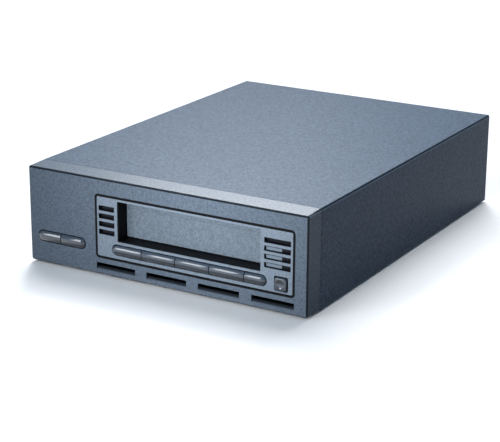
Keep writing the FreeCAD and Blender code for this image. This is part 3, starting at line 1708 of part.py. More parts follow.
def id_wheel():
    """Number wheel of the unit switch, with ten flats."""
    x, z, y = id_centre_x - id_wheel_width / 2, id_centre_z, id_axle_y()
    outline = [(x, y + a, z + b) for a, b in regular(id_faces, id_wheel_radius)]
    wheel = prism(outline, (id_wheel_width, 0, 0))
    bore = rod(id_axle_radius + running_clearance, point(x - 1, y, z), point(x + id_wheel_width + 1, y, z))
    return wheel.cut(bore)


def id_push_button(side):
    """Small push button above (side 1) or below (side -1) the number wheel."""
    x, z = id_centre_x, id_centre_z + side * id_button_offset
    half = id_button / 2
    face = panel_y + id_proud
    back = face - id_well + id_button_travel + id_room
    return block(x - half, x + half, back, face + id_button_proud, z - half, z + half)


# ---------------------------------------------------------------- output
def parts():
    """Every sub-part by node name: one solid, or a list of separate solids."""
    lenses, tiles = indicator_places()
    status_left, status_right = status_keys()
    made = {
        "front_fascia": front_fascia(),
        "top_cover": top_cover(),
        "base_tray": base_tray(),
        "rear_panel": rear_panel(),
        "rubber_feet": rubber_feet(),
        "status_key_left": status_left,
        "status_key_right": status_right,
        "status_board": status_board(),
        "drive_bezel": drive_bezel(),
        "light_shields": light_shields(),
        "indicator_lenses": indicator_blocks(lenses),
        "legend_tiles": indicator_blocks(tiles),
        "slot_liner": slot_liner(),
        "slot_door": slot_door(),
        "eject_button": eject_button(),
        "front_board": front_board(),
        "drive_casting": drive_casting(),
        "drive_lid": drive_lid(),
        "controller_board": controller_board(),
        "cartridge_receiver": cartridge_receiver(),
        "cam_slide": cam_slide(),
        "load_gear": load_gear(),
        "load_pinion": load_pinion(),
        "load_motor": load_motor(),
        "reel_motors": reel_motors(),
        "supply_hub": supply_hub(),
        "take_up_reel": take_up_reel(),
        "head_frame": head_frame(),
        "head_stepper": head_stepper(),
        "head_screw": head_screw(),
        "head_carriage": head_carriage(),
        "tape_head": tape_head(),
        "drive_rails": [drive_rail(-1), drive_rail(1)],
        "psu_case": psu_case(),
        "psu_board": psu_board(),
        "power_harness": power_harness(),
        "ribbon_cable": ribbon_cable(),
        "interface_board": interface_board(),
        "signal_connectors": [signal_connector(z) for z in connector_z],
        "jack_screws": jack_screws(),
        "fan_frame": fan_frame(),
        "fan_rotor": fan_rotor(),
        "ac_inlet": ac_inlet(),
        "inlet_pins": inlet_pins(),
        "rocker_frame": rocker_frame(),
        "rocker": rocker(),
        "id_switch": id_switch(),
        "id_wheel": id_wheel(),
        "id_button_up": id_push_button(1),
        "id_button_down": id_push_button(-1),
    }
    for number, key in enumerate(drive_keys(), 1):
        made[f"key_{number}"] = key
    for number, (x, y) in enumerate(roller_centres(), 1):
        made[f"guide_roller_{number}"] = guide_roller(x, y)
    return made


def write_parts():
    os.makedirs("parts", exist_ok=True)
    for name, shape in parts().items():
        if isinstance(shape, list):
            shape = Part.makeCompound(shape)
        shape.exportStep(f"parts/{name}.step")


write_parts()
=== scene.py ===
"""Looks of the desktop data tape drive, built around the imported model.

Metres, +Z up, front along -Y.
"""

import json
import math

import bmesh
import bpy
from mathutils import Matrix, Vector


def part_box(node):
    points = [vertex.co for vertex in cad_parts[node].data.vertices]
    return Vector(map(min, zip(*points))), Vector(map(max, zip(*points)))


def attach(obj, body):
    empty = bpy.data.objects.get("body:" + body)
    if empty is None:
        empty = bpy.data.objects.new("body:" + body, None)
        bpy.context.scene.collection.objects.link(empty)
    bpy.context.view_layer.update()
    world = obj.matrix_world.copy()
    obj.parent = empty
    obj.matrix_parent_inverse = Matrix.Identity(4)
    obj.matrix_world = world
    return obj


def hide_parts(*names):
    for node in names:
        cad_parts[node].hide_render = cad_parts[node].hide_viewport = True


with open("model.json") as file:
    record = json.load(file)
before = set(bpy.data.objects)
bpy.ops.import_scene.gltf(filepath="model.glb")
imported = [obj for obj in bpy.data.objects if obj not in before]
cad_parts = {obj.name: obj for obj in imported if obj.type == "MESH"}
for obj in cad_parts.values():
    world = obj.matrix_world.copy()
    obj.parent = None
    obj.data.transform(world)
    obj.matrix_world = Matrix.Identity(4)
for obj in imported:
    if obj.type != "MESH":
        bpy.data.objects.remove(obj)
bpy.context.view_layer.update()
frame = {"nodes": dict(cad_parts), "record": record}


MM = 0.001

FASCIA_LOW, FASCIA_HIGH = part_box("front_fascia")
FRONT_Y = FASCIA_LOW.y
WIDE_X = FASCIA_HIGH.x
TOP_Z = FASCIA_HIGH.z

# ---------------------------------------------------------------- surface colours, as sRGB values
PAINT = (77, 91, 108)
FASCIA = (85, 96, 109)
BEZEL = (107, 119, 132)
DOOR = (93, 104, 115)
KEY = (54, 64, 77)
TILE = (104, 118, 132)
BLACK = (9, 10, 12)
LENS = (10, 13, 19)
ZINC = (178, 180, 184)
CAST = (170, 172, 176)
STEEL = (190, 192, 196)
ACETAL = (222, 218, 206)
BOARD = (30, 84, 54)
SOLDER = (196, 188, 158)
CABLE = (120, 124, 130)
BRASS = (206, 186, 128)
RUBBER = (30, 30, 31)
ROCKER = (26, 27, 29)
FAN = (24, 25, 27)

# ---------------------------------------------------------------- light and floor, linear values
WHITE = (1.0, 1.0, 1.0)
SUNLIGHT = (1.0, 0.99, 0.98)
CARD_LIGHT = (0.94, 0.97, 1.0)
WORLD_COLOUR = (0.66, 0.83, 1.0, 1.0)
WORLD_LEVEL = 0.32
FLOOR_SEEN = (0.85, 0.86, 0.88, 1)
FLOOR_THROWN = (0.09, 0.10, 0.11, 1)
FLOOR_HALF = 40.0
FLOOR_CELLS = 8
FLOOR_DROP = 0.1 * MM

# ---------------------------------------------------------------- painted shade and highlight lines drawn by position
DARK_EDGE_WIDTH = 0.9 * MM             # painted dark edge reflection along the long upper edges, on both faces
HIGHLIGHT_LINE_END = 1.9 * MM       # the painted highlight line on the sides runs from the dark edge line down to here
HIGHLIGHT_LINE_SKIN = 0.3 * MM      # how far inside the widest x a surface still counts as the side
HIGHLIGHT_LINE_WEIGHT = 0.75
FACE_SKIN = 1.15 * MM           # how far behind the front face its painted shade lines reach
FACE_SIDE_LINE = 0.95 * MM
FACE_UPPER_LINE = 1.65 * MM
FACE_LOWER_LINE = 0.8 * MM
FACE_LOWER_WEIGHT = 0.7
WALL_START = 0.25 * MM          # painted shade darkens the walls of the openings between these depths
WALL_FULL = 1.1 * MM
OPENINGS_SIDE = 2 * MM          # margins of the front face that hold no opening
OPENINGS_UPPER = 3 * MM
OPENINGS_LOWER = 1.2 * MM
UPPER_FACE_START = 0.8 * MM     # the upper face's own gloss sets in between these depths
UPPER_FACE_FULL = 0.7 * MM

# ---------------------------------------------------------------- textures
NOISE_SPAN = (0.3, 0.7)         # where most values of a noise lie
SPECKLE_SPAN = (0.32, 0.68)
NOISE_ROUGHNESS = 0.6
DRIFT_SCALE = 9.0
DRIFT_DARKEST = (0.96, 0.96, 0.96, 1)
UNCHANGED = (1, 1, 1, 1)
PAINTED_HIGHLIGHT_SHARE = 1.2              # share added to the colour on painted highlight lines
PAINTED_SHADE_SHARE = 0.86              # share taken from the colour on painted shade lines and walls

CLOUD_SCALE = 60.0              # flow marks of smooth plastic
CLOUD_CONTRAST = 0.05
GLOSS_SCALE = 420.0
GLOSS_LOWER, GLOSS_HIGHER = 0.03, 0.05
GLOSS_RELIEF = 0.002 * MM
TURNED_DOWN = 0.22              # painted shade darkens undersides while the normal's z falls from this to -this
UNDERSIDE_SHADE_SHARE = 0.92
COAT_ROUGHNESS = 0.12

GRAIN_DETAIL = 3.0              # metals
GRAIN_CONTRAST = 0.10
GRAIN_ROUGHER = 0.06
DULL_SCALE = 35.0
DULL_RANGE = (-0.05, 0.08)
SPANGLE_SCALE = 130.0
SPANGLE_SPAN = (0.2, 0.8)

TRACK_SCALE = 320.0             # the tracks are the mortar of a brick pattern
TRACK_WIDTH = 0.09
TRACK_OFFSET = 0.3
TRACK_CONTRAST = 0.25
TRACK_ROUGH = (0.3, 0.42)
TRACK_RELIEF = 0.02 * MM
TRACK_STRENGTH = 0.5
PAD_SCALE = 210.0
PAD_SPAN = (0.12, 0.08)         # distance from a cell's middle over which a pad sets in

RIB_SCALE = 250.0               # one rib every 1.26 mm
RIB_CONTRAST = 0.18
RIB_RELIEF = 0.15 * MM
CABLE_GLOSS_SCALE = 200.0
CABLE_ROUGH = (0.45, 0.6)

# ---------------------------------------------------------------- shapes
SMOOTH_BELOW = math.radians(38)
WELD = 0.004 * MM
PROUD = 0.02 * MM               # how far the black strip of painted gap shade and the slot edge stand before what they cover

KEYS = 5
KEY_GAP = 0.6 * MM              # between a key and the edge of its opening
KEY_LIP = 1.0 * MM              # the lip's overlap behind the wall, and its thickness
KEY_STEM = 0.8 * MM             # stem behind the lip, hidden and left out
KEY_BULGE = 2.3 * MM
KEY_EASE = 0.35 * MM            # rounding between neighbouring keys
KEY_ROWS = 16
KEY_END_STEPS = 9
KEY_EASE_STRIDE = 3             # a square end uses every third step only

BUTTON_HALF = 4.3 * MM
BUTTON_CORNER = 1.6 * MM
BUTTON_SOFT = 0.8 * MM
BUTTON_SOFT_STEPS = 5
BUTTON_POINTS = 64
DISH_RADIUS = 3.15 * MM
DISH_DEPTH = 0.85 * MM
DISH_POWER = 0.8                # 1 is a parabola, and less gives a flatter bottom
DISH_SHARES = (0.0, 0.2, 0.4, 0.6, 0.78, 0.9, 0.97, 1.0)

SCREW_SIDES = 32
# shares of the head's radius and height, from its foot to the flat top
SCREW_PROFILE = ((1.0, 0.0), (1.0, 0.35), (0.93, 0.68), (0.78, 0.9), (0.66, 1.0))
CROSS_ARM = 0.62                # half length and half width of an arm, as shares of the radius
CROSS_WIDE = 0.16
CROSS_TAPER = 0.75              # size of the recess's floor, as a share of its opening
CROSS_DEEP = 0.55               # share of the head's height

COVER_SCREW = (2.3 * MM, 1.2 * MM)      # each screw's head: radius and height
COVER_SCREW_INSET = 16 * MM
COVER_SCREW_DROP = 4.6 * MM
FAN_SCREW = (2.4 * MM, 1.3 * MM)
FAN_SCREW_OUT = 20 * MM
INLET_SCREW = (2.2 * MM, 1.2 * MM)
INLET_SCREW_OUT = 20 * MM

# black strip of painted shade in the gap round the bezel: its reach beyond and inside the bezel's
# outline, and its depth
GAP_SHADE_OUTSIDE = 1.25 * MM        # beyond the bezel's outline
GAP_SHADE_INSIDE = 0.50 * MM
GAP_SHADE_DEEP = 0.5 * MM
BEZEL_CORNER = 1.5 * MM
CORNER_STEPS = 8
SLOT_EDGE_WIDE = 1.0 * MM

# ---------------------------------------------------------------- camera, solved from the corners
CAMERA_PLACE = (0.54388, -0.97044, 0.37239)
CAMERA_AZIMUTH = math.radians(30.104)
CAMERA_ELEVATION = math.radians(18.2245)
CAMERA_ROLL = math.radians(0.394)
CAMERA_SENSOR = 36.0
CAMERA_FOCAL = 1603.69 / 500    # focal length in picture widths
CAMERA_NEAR = 0.05


def linear(rgb):
    """Linear colour with alpha from sRGB values."""
    values = [c / 255 for c in rgb]
    return [c / 12.92 if c <= 0.04045 else ((c + 0.055) / 1.055) ** 2.4 for c in values] + [1.0]


def shades(rgb, amount):
    """The colour made darker and made lighter by a share."""
    base = linear(rgb)
    darker = [c * (1 - amount) for c in base[:3]] + [1.0]
    lighter = [min(1.0, c * (1 + amount)) for c in base[:3]] + [1.0]
    return darker, lighter


# ---------------------------------------------------------------- node helpers
class Graph:
    """Short names for building one material's nodes."""

    MIX_COLOURS = (6, 7)        # a colour mix shares its sockets' names with other kinds of mix
    MIX_RESULT = 2

    def __init__(self, name):
        self.material = bpy.data.materials.new(name)
        self.material.use_nodes = True
        self.nodes = self.material.node_tree.nodes
        self.links = self.material.node_tree.links
        self.shader = self.nodes["Principled BSDF"]
        self.place = self.nodes.new("ShaderNodeTexCoord").outputs["Object"]

    def feed(self, socket, value):
        """Links an input to another node's output, or sets its constant."""
        if isinstance(value, bpy.types.NodeSocket):
            self.links.new(value, socket)
        else:
            socket.default_value = value

    def add(self, kind, **inputs):
        """A new node with its inputs fed; their names have underscores for spaces."""
        node = self.nodes.new(kind)
        for name, value in inputs.items():
            self.feed(node.inputs[name.replace("_", " ")], value)
        return node

    def set(self, **inputs):
        """Feeds the surface shader's inputs."""
        for name, value in inputs.items():
            self.feed(self.shader.inputs[name.replace("_", " ")], value)

    def stretched(self, scale):
        return self.add("ShaderNodeMapping", Scale=scale, Vector=self.place).outputs["Vector"]

    def noise(self, scale, detail=2.0, roughness=0.5, place=None):
        return self.add("ShaderNodeTexNoise", Scale=scale, Detail=detail, Roughness=roughness,
                        Vector=place or self.place).outputs["Fac"]

    def cells(self, scale):
        return self.add("ShaderNodeTexVoronoi", Scale=scale, Vector=self.place).outputs["Distance"]

    def axis(self, name, vector=None):
        return self.add("ShaderNodeSeparateXYZ", Vector=vector or self.place).outputs[name]

    def spread(self, value, low, high, to_low=0.0, to_high=1.0):
        """Values from low to high mapped to a new range, and held at its ends."""
        return self.add("ShaderNodeMapRange", From_Min=low, From_Max=high, To_Min=to_low,
                        To_Max=to_high, Value=value).outputs["Result"]

    def math(self, operation, a, b):
        node = self.nodes.new("ShaderNodeMath")
        node.operation = operation
        for socket, value in zip(node.inputs, (a, b)):
            self.feed(socket, value)
        return node.outputs["Value"]

    def both(self, a, b):
        return self.math("MULTIPLY", a, b)

    def either(self, a, b):
        return self.math("MAXIMUM", a, b)

    def over(self, name, limit):
        """1 where the coordinate is greater than the limit, 0 elsewhere."""
        return self.math("GREATER_THAN", self.axis(name), limit)

    def under(self, name, limit):
        return self.math("LESS_THAN", self.axis(name), limit)

    def from_middle(self):
        """Distance from the middle plane, x = 0."""
        return self.math("ABSOLUTE", self.axis("X"), 0)

    def mix(self, factor, a, b, blend="MIX"):
        node = self.add("ShaderNodeMix")
        node.data_type = "RGBA"
        node.blend_type = blend
        self.feed(node.inputs["Factor"], factor)
        for number, value in zip(self.MIX_COLOURS, (a, b)):
            self.feed(node.inputs[number], value)
        return node.outputs[self.MIX_RESULT]

    def bump(self, height, distance, strength=1.0):
        return self.add("ShaderNodeBump", Distance=distance, Strength=strength,
                        Height=height).outputs["Normal"]


# ---------------------------------------------------------------- masks by position: gloss, painted shade and painted highlight
def only_on_top(sides, top):
    """Specular level that differs between the sides and the upper face."""
    return lambda g: g.spread(g.axis("Z"), TOP_Z - UPPER_FACE_START, TOP_Z - UPPER_FACE_FULL,
                              sides, top)


def painted_recess_shade(g):
    """Painted shade on the walls behind the front face."""
    return g.spread(g.axis("Y"), FRONT_Y + WALL_START, FRONT_Y + WALL_FULL)


def painted_dark_edge(g):
    """Painted dark edge reflection: a line along the two long upper edges."""
    side = g.math("GREATER_THAN", g.from_middle(), WIDE_X - DARK_EDGE_WIDTH)
    return g.both(side, g.over("Z", TOP_Z - DARK_EDGE_WIDTH))


def painted_edge_highlight(g):
    """Painted highlight: a thin light line on the sides, just under the upper edges."""
    band = g.both(g.over("Z", TOP_Z - HIGHLIGHT_LINE_END), g.under("Z", TOP_Z - DARK_EDGE_WIDTH))
    side = g.math("GREATER_THAN", g.from_middle(), WIDE_X - HIGHLIGHT_LINE_SKIN)
    return g.both(band, g.both(side, HIGHLIGHT_LINE_WEIGHT))


def fascia_painted_shade(g):
    """Painted shade and dark edge reflection: dark lines along the front face's edges and the upper
    edges, and on the openings' walls.
    """
    near = g.under("Y", FRONT_Y + FACE_SKIN)
    side = g.math("GREATER_THAN", g.from_middle(), WIDE_X - FACE_SIDE_LINE)
    upper = g.over("Z", TOP_Z - FACE_UPPER_LINE)
    lower = g.both(g.under("Z", FASCIA_LOW.z + FACE_LOWER_LINE), FACE_LOWER_WEIGHT)
    border = g.both(near, g.either(side, g.either(upper, lower)))
    wide = g.math("LESS_THAN", g.from_middle(), WIDE_X - OPENINGS_SIDE)
    tall = g.both(g.over("Z", FASCIA_LOW.z + OPENINGS_LOWER), g.under("Z", TOP_Z - OPENINGS_UPPER))
    walls = g.both(painted_recess_shade(g), g.both(wide, tall))
    return g.either(border, g.either(walls, painted_dark_edge(g)))


# ---------------------------------------------------------------- materials
def textured(name, rgb, grain, contrast, rough, relief,
             painted_shade_where=None, painted_highlight_where=None, uneven=0.05, specular=0.5):
    """Textured paint or moulded plastic: speckle, slow colour drift, and painted shade and
    highlight masks.
    """
    g = Graph(name)
    fine = g.noise(1 / grain, roughness=NOISE_ROUGHNESS)
    broad = g.noise(DRIFT_SCALE)
    dark, light = shades(rgb, contrast)
    colour = g.mix(g.spread(fine, *SPECKLE_SPAN), dark, light)
    drift = g.mix(g.spread(broad, *NOISE_SPAN), DRIFT_DARKEST, UNCHANGED)
    colour = g.mix(1.0, colour, drift, "MULTIPLY")
    # painted highlight and painted shade lines where the masks say
    if painted_highlight_where:
        colour = g.mix(painted_highlight_where(g), colour, shades(rgb, PAINTED_HIGHLIGHT_SHARE)[1])
    if painted_shade_where:
        colour = g.mix(painted_shade_where(g), colour, shades(rgb, PAINTED_SHADE_SHARE)[0])
    g.set(Base_Color=colour,
          Roughness=g.spread(fine, *NOISE_SPAN, rough - uneven, rough + uneven),
          Normal=g.bump(fine, relief),
          Specular_IOR_Level=specular(g) if callable(specular) else specular)
    return g.material


def smooth_plastic(name, rgb, rough, coat=0.0, specular=0.5, under=0.0):
    """Smooth moulding: faint flow marks, a slightly uneven gloss, and painted shade on the
    underside.
    """
    g = Graph(name)
    slow = g.noise(CLOUD_SCALE)
    gloss = g.noise(GLOSS_SCALE)
    dark, light = shades(rgb, CLOUD_CONTRAST)
    colour = g.mix(g.spread(slow, *NOISE_SPAN), dark, light)
    # painted shade: the colour darkens where the surface faces down
    if under:
        facing = g.axis("Z", g.add("ShaderNodeNewGeometry").outputs["Normal"])
        underside_shade = g.spread(facing, TURNED_DOWN, -TURNED_DOWN, 0.0, under)
        colour = g.mix(underside_shade, colour, shades(rgb, UNDERSIDE_SHADE_SHARE)[0])
    g.set(Base_Color=colour,
          Roughness=g.spread(gloss, *NOISE_SPAN, rough - GLOSS_LOWER, rough + GLOSS_HIGHER),
          Normal=g.bump(gloss, GLOSS_RELIEF),
          Coat_Weight=coat, Coat_Roughness=COAT_ROUGHNESS, Specular_IOR_Level=specular)
    return g.material


def metal(name, rgb, rough, direction=(1.0, 1.0, 0.05), grain=700.0, relief=0.003 * MM,
          spangle=0.0):
    """Sheet, cast or turned metal: grain stretched along direction, dull patches, zinc spangle."""
    g = Graph(name)
    lines = g.noise(grain, GRAIN_DETAIL, NOISE_ROUGHNESS, g.stretched(direction))
    dull = g.noise(DULL_SCALE, GRAIN_DETAIL)
    dark, light = shades(rgb, GRAIN_CONTRAST)
    colour = g.mix(g.spread(lines, *NOISE_SPAN), dark, light)
    if spangle:
        patch = g.spread(g.cells(SPANGLE_SCALE), *SPANGLE_SPAN, 1 - spangle, 1.0)
        colour = g.mix(1.0, colour, patch, "MULTIPLY")
    g.set(Base_Color=colour,
          Roughness=g.math("ADD", g.spread(dull, *NOISE_SPAN, *DULL_RANGE),
                           g.spread(lines, *NOISE_SPAN, rough, rough + GRAIN_ROUGHER)),
          Normal=g.bump(lines, relief),
          Metallic=1.0)
    return g.material


def circuit_board(name):
    """Green solder mask with faint tracks and plated spots."""
    g = Graph(name)
    bricks = g.add("ShaderNodeTexBrick", Scale=TRACK_SCALE, Mortar_Size=TRACK_WIDTH, Vector=g.place)
    bricks.offset = TRACK_OFFSET
    tracks = bricks.outputs["Fac"]
    dark, light = shades(BOARD, TRACK_CONTRAST)
    colour = g.mix(tracks, light, dark)
    pads = g.spread(g.cells(PAD_SCALE), *PAD_SPAN)
    g.set(Base_Color=g.mix(pads, colour, linear(SOLDER)),
          Roughness=g.spread(tracks, 0.0, 1.0, *TRACK_ROUGH),
          Normal=g.bump(tracks, TRACK_RELIEF, TRACK_STRENGTH))
    return g.material


def ribbed_cable(name):
    """Ribbed grey insulation."""
    g = Graph(name)
    ribs = g.add("ShaderNodeTexWave", Scale=RIB_SCALE, Vector=g.place).outputs["Fac"]
    g.set(Base_Color=g.mix(ribs, *shades(CABLE, RIB_CONTRAST)),
          Normal=g.bump(ribs, RIB_RELIEF),
          Roughness=g.spread(g.noise(CABLE_GLOSS_SCALE), *NOISE_SPAN, *CABLE_ROUGH))
    return g.material


MATERIALS = {
    # cover and fascia carry a painted dark edge reflection and a painted highlight line; the bezel
    # carries painted shade on its recess walls
    "cover_paint": textured(
        "cover_paint", PAINT, grain=1.8 * MM, contrast=0.36, rough=0.31, relief=0.012 * MM,
        painted_shade_where=painted_dark_edge, painted_highlight_where=painted_edge_highlight, uneven=0.015,
        specular=only_on_top(sides=0.032, top=0.055)),
    "fascia_plastic": textured(
        "fascia_plastic", FASCIA, grain=1.3 * MM, contrast=0.20, rough=0.25, relief=0.0006 * MM,
        painted_shade_where=fascia_painted_shade, painted_highlight_where=painted_edge_highlight, uneven=0.015,
        specular=only_on_top(sides=0.05, top=0.15)),
    "bezel_plastic": textured(
        "bezel_plastic", BEZEL, grain=1.2 * MM, contrast=0.16, rough=0.42, relief=0.008 * MM,
        painted_shade_where=painted_recess_shade, specular=0.3),
    "door_plastic": textured(
        "door_plastic", DOOR, grain=1.15 * MM, contrast=0.26, rough=0.5, relief=0.008 * MM,
        specular=0.3),
    "black_plastic": textured(
        "black_plastic", BLACK, grain=0.5 * MM, contrast=0.15, rough=0.55, relief=0.01 * MM,
        specular=0.12),
    "legend_plastic": textured(
        "legend_plastic", TILE, grain=0.9 * MM, contrast=0.08, rough=0.4, relief=0.004 * MM,
        specular=0.3),
    "foot_rubber": textured(
        "foot_rubber", RUBBER, grain=0.8 * MM, contrast=0.2, rough=0.7, relief=0.03 * MM),
    # the keys carry painted shade on their undersides
    "key_plastic": smooth_plastic("key_plastic", KEY, rough=0.20, coat=1.0, under=0.9),
    "lens_plastic": smooth_plastic("lens_plastic", LENS, rough=0.3, specular=0.15),
    "gear_plastic": smooth_plastic("gear_plastic", ACETAL, rough=0.38),
    "rocker_plastic": smooth_plastic("rocker_plastic", ROCKER, rough=0.3, coat=0.2),
    "fan_plastic": smooth_plastic("fan_plastic", FAN, rough=0.42),
    "zinc_steel": metal("zinc_steel", ZINC, rough=0.36, spangle=0.18),
    "cast_metal": metal("cast_metal", CAST, rough=0.48, direction=(1.0, 1.0, 1.0), grain=1100.0,
                        relief=0.02 * MM),
    "machined_steel": metal("machined_steel", STEEL, rough=0.25, direction=(0.1, 0.1, 1.0)),
    "brass_pins": metal("brass_pins", BRASS, rough=0.28),
    "board_green": circuit_board("board_green"),
    "cable_grey": ribbed_cable("cable_grey"),
}

for part in frame["record"]["subparts"]:
    node = frame["nodes"][part["node"]]
    node.data.materials.clear()
    node.data.materials.append(MATERIALS[part["material_slot"]])


# ---------------------------------------------------------------- mesh helpers
def place_in_scene(obj):
    """Links an object to the scene's own collection."""
    bpy.context.scene.collection.objects.link(obj)


def finished_mesh(name, bm, material):
    """Mesh data with one material, made from a bmesh that is freed."""
    mesh = bpy.data.meshes.new(name)
    bm.to_mesh(mesh)
    bm.free()
    mesh.materials.append(material)
    return mesh


def piece(name, bm, slot, body, *replaced):
    """A finished mesh piece: smooth by angle, with its slot, body and the nodes it stands for."""
    bmesh.ops.recalc_face_normals(bm, faces=bm.faces)
    mesh = finished_mesh(name, bm, MATERIALS[slot])
    mesh.shade_smooth()
    mesh.set_sharp_from_angle(angle=SMOOTH_BELOW)
    obj = bpy.data.objects.new(name, mesh)
    place_in_scene(obj)
    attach(obj, body)
    if replaced:
        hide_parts(*replaced)


def slab(bm, low, high):
    """Box between two corners, added to the mesh."""
    made = bmesh.ops.create_cube(bm, size=1.0)
    for vert in made["verts"]:
        vert.co = Vector(a + (b - a) * (c + 0.5) for a, b, c in zip(low, high, vert.co))


def neighbours(ring):
    """Each member of a closed ring with the next one."""
    return zip(ring, ring[1:] + ring[:1])


def bridge(bm, a, b):
    """Faces between two closed rings of vertices."""
    for (a0, a1), (b0, b1) in zip(neighbours(a), neighbours(b)):
        bm.faces.new((a0, a1, b1, b0))


def close_back(bm, y):
    """Runs the open edge of a shell straight back to y and closes it there."""
    open_edges = [edge for edge in bm.edges if edge.is_boundary]
    made = bmesh.ops.extrude_edge_only(bm, edges=open_edges)["geom"]
    for vert in [item for item in made if isinstance(item, bmesh.types.BMVert)]:
        vert.co.y = y
    last_edges = [item for item in made
                  if isinstance(item, bmesh.types.BMEdge) and item.is_boundary]
    bmesh.ops.contextual_create(bm, geom=last_edges)


# ---------------------------------------------------------------- keys and eject button
def finish_cap(bm, node, low, high):
    """Closes a cap at the back, adds the lip that keeps it behind the wall, and names it."""
    back = high.y - KEY_STEM
    bmesh.ops.remove_doubles(bm, verts=bm.verts, dist=WELD)
    close_back(bm, back - KEY_LIP)
    slab(bm, (low.x, back - KEY_LIP, low.z), (high.x, back, high.z))
    piece("cap_of_" + node, bm, "key_plastic", node, node)


def key_end(x, inwards, radius, is_round):
    """Stations at a key's end: x, share of the full section, and how far that is drawn in."""
    stations = []
    for k in range(0, KEY_END_STEPS + 1, 1 if is_round else KEY_EASE_STRIDE):
        angle = math.pi / 2 * k / KEY_END_STEPS
        if is_round:
            at = x + inwards * radius - inwards * radius * math.cos(angle)
            stations.append((at, math.sin(angle), 0.0))
        else:
            at = x + inwards * KEY_EASE * (1 - math.cos(angle))
            stations.append((at, 1.0, KEY_EASE * (1 - math.sin(angle))))
    return stations


def add_key(node, round_left, round_right):
    """Half-round key with its outer end rounded off."""
    low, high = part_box(node)
    reach = KEY_GAP + KEY_LIP
    x0, x1 = low.x + (reach if round_left else 0), high.x - (reach if round_right else 0)
    z0, z1 = low.z + reach, high.z - reach
    radius, middle = (z1 - z0) / 2, (z0 + z1) / 2
    stations = key_end(x0, 1, radius, round_left) + key_end(x1, -1, radius, round_right)[::-1]
    bm = bmesh.new()
    grid = []
    for x, share, drawn in stations:
        line = []
        for k in range(KEY_ROWS + 1):
            angle = math.pi * (k / KEY_ROWS - 0.5)
            depth = low.y + KEY_BULGE - (KEY_BULGE - drawn) * share * math.cos(angle)
            height = middle + (radius * share - drawn) * math.sin(angle)
            line.append(bm.verts.new((x, depth, height)))
        grid.append(line)
    for a, b in zip(grid, grid[1:]):
        for k in range(KEY_ROWS):
            bm.faces.new((a[k], b[k], b[k + 1], a[k + 1]))
    finish_cap(bm, node, low, high)


def rounded_square(half, corner, count):
    """Points round a square with rounded corners, at even angles."""
    points = []
    for k in range(count):
        angle = 2 * math.pi * (k + 0.5) / count
        u, w = math.cos(angle), math.sin(angle)
        scale = half / max(abs(u), abs(w))
        x, z = u * scale, w * scale
        inner = half - corner
        if abs(x) > inner and abs(z) > inner:
            # the ray meets the corner's arc
            cx, cz = math.copysign(inner, x), math.copysign(inner, z)
            along = u * cx + w * cz
            scale = along + math.sqrt(along * along - cx * cx - cz * cz + corner * corner)
            x, z = u * scale, w * scale
        points.append((x, z))
    return points


def add_eject_button():
    """Square cap with soft edges and a round finger dish."""
    low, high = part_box("eject_button")
    x, z, face = (low.x + high.x) / 2, low.z + BUTTON_HALF, low.y
    outline = rounded_square(BUTTON_HALF, BUTTON_CORNER, BUTTON_POINTS)
    rings = []
    for share in DISH_SHARES:
        y = face + DISH_DEPTH * (1 - share ** 2) ** DISH_POWER
        radius = DISH_RADIUS * share
        rings.append([(radius * a / math.hypot(a, b), y, radius * b / math.hypot(a, b))
                      for a, b in outline])
    for k in range(BUTTON_SOFT_STEPS + 1):
        angle = math.pi / 2 * k / BUTTON_SOFT_STEPS
        y = face + BUTTON_SOFT * (1 - math.cos(angle))
        size = BUTTON_HALF - BUTTON_SOFT * (1 - math.sin(angle))
        rings.append([(a * size / BUTTON_HALF, y, b * size / BUTTON_HALF) for a, b in outline])
    bm = bmesh.new()
    grid = [[bm.verts.new((x + a, y, z + b)) for a, y, b in ring] for ring in rings]
    for inner, outer in zip(grid, grid[1:]):
        bridge(bm, inner, outer)
    finish_cap(bm, "eject_button", low, high)


for number in range(1, KEYS + 1):
    add_key(f"key_{number}", number == 1, number == KEYS)
add_key("status_key_left", True, False)
add_key("status_key_right", False, True)
add_eject_button()


# ---------------------------------------------------------------- painted gap shade round the bezel, and slot edge
def rounded_outline(low_x, low_z, high_x, high_z, corner):
    """Points round a rectangle with rounded corners, in x and z."""
    left, right, bottom, top = low_x + corner, high_x - corner, low_z + corner, high_z - corner
    points = []
    for turn, (x, z) in enumerate(((right, top), (left, top), (left, bottom), (right, bottom))):
        for k in range(CORNER_STEPS + 1):
            angle = math.pi / 2 * (turn + k / CORNER_STEPS)
            points.append((x + corner * math.cos(angle), z + corner * math.sin(angle)))
    return points


def add_bezel_gap_shade():
    """Black strip of painted shade that fills the gap round the drive's bezel."""
    low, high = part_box("drive_bezel")
    outer, inner = (rounded_outline(low.x - out, low.z - out, high.x + out, high.z + out,
                                    BEZEL_CORNER + out) for out in (GAP_SHADE_OUTSIDE, -GAP_SHADE_INSIDE))
    front, back = low.y - PROUD, low.y + GAP_SHADE_DEEP
    bm = bmesh.new()
    loops = [[bm.verts.new((x, y, z)) for x, z in outline]
             for outline, y in ((outer, back), (outer, front), (inner, front), (inner, back))]
    for a, b in neighbours(loops):
        bridge(bm, a, b)
    piece("bezel_gap_shade", bm, "black_plastic", "enclosure")


def add_slot_edge():
    """Right-hand edge of the slot in the bezel's own plastic, over the end of the throat's wall."""
    liner_low, liner_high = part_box("slot_liner")
    bm = bmesh.new()
    slab(bm, (liner_high.x - SLOT_EDGE_WIDE, FRONT_Y, liner_low.z),
         (liner_high.x, liner_low.y - PROUD, liner_high.z))
    piece("bezel_slot_edge", bm, "bezel_plastic", "enclosure")


add_bezel_gap_shade()
add_slot_edge()


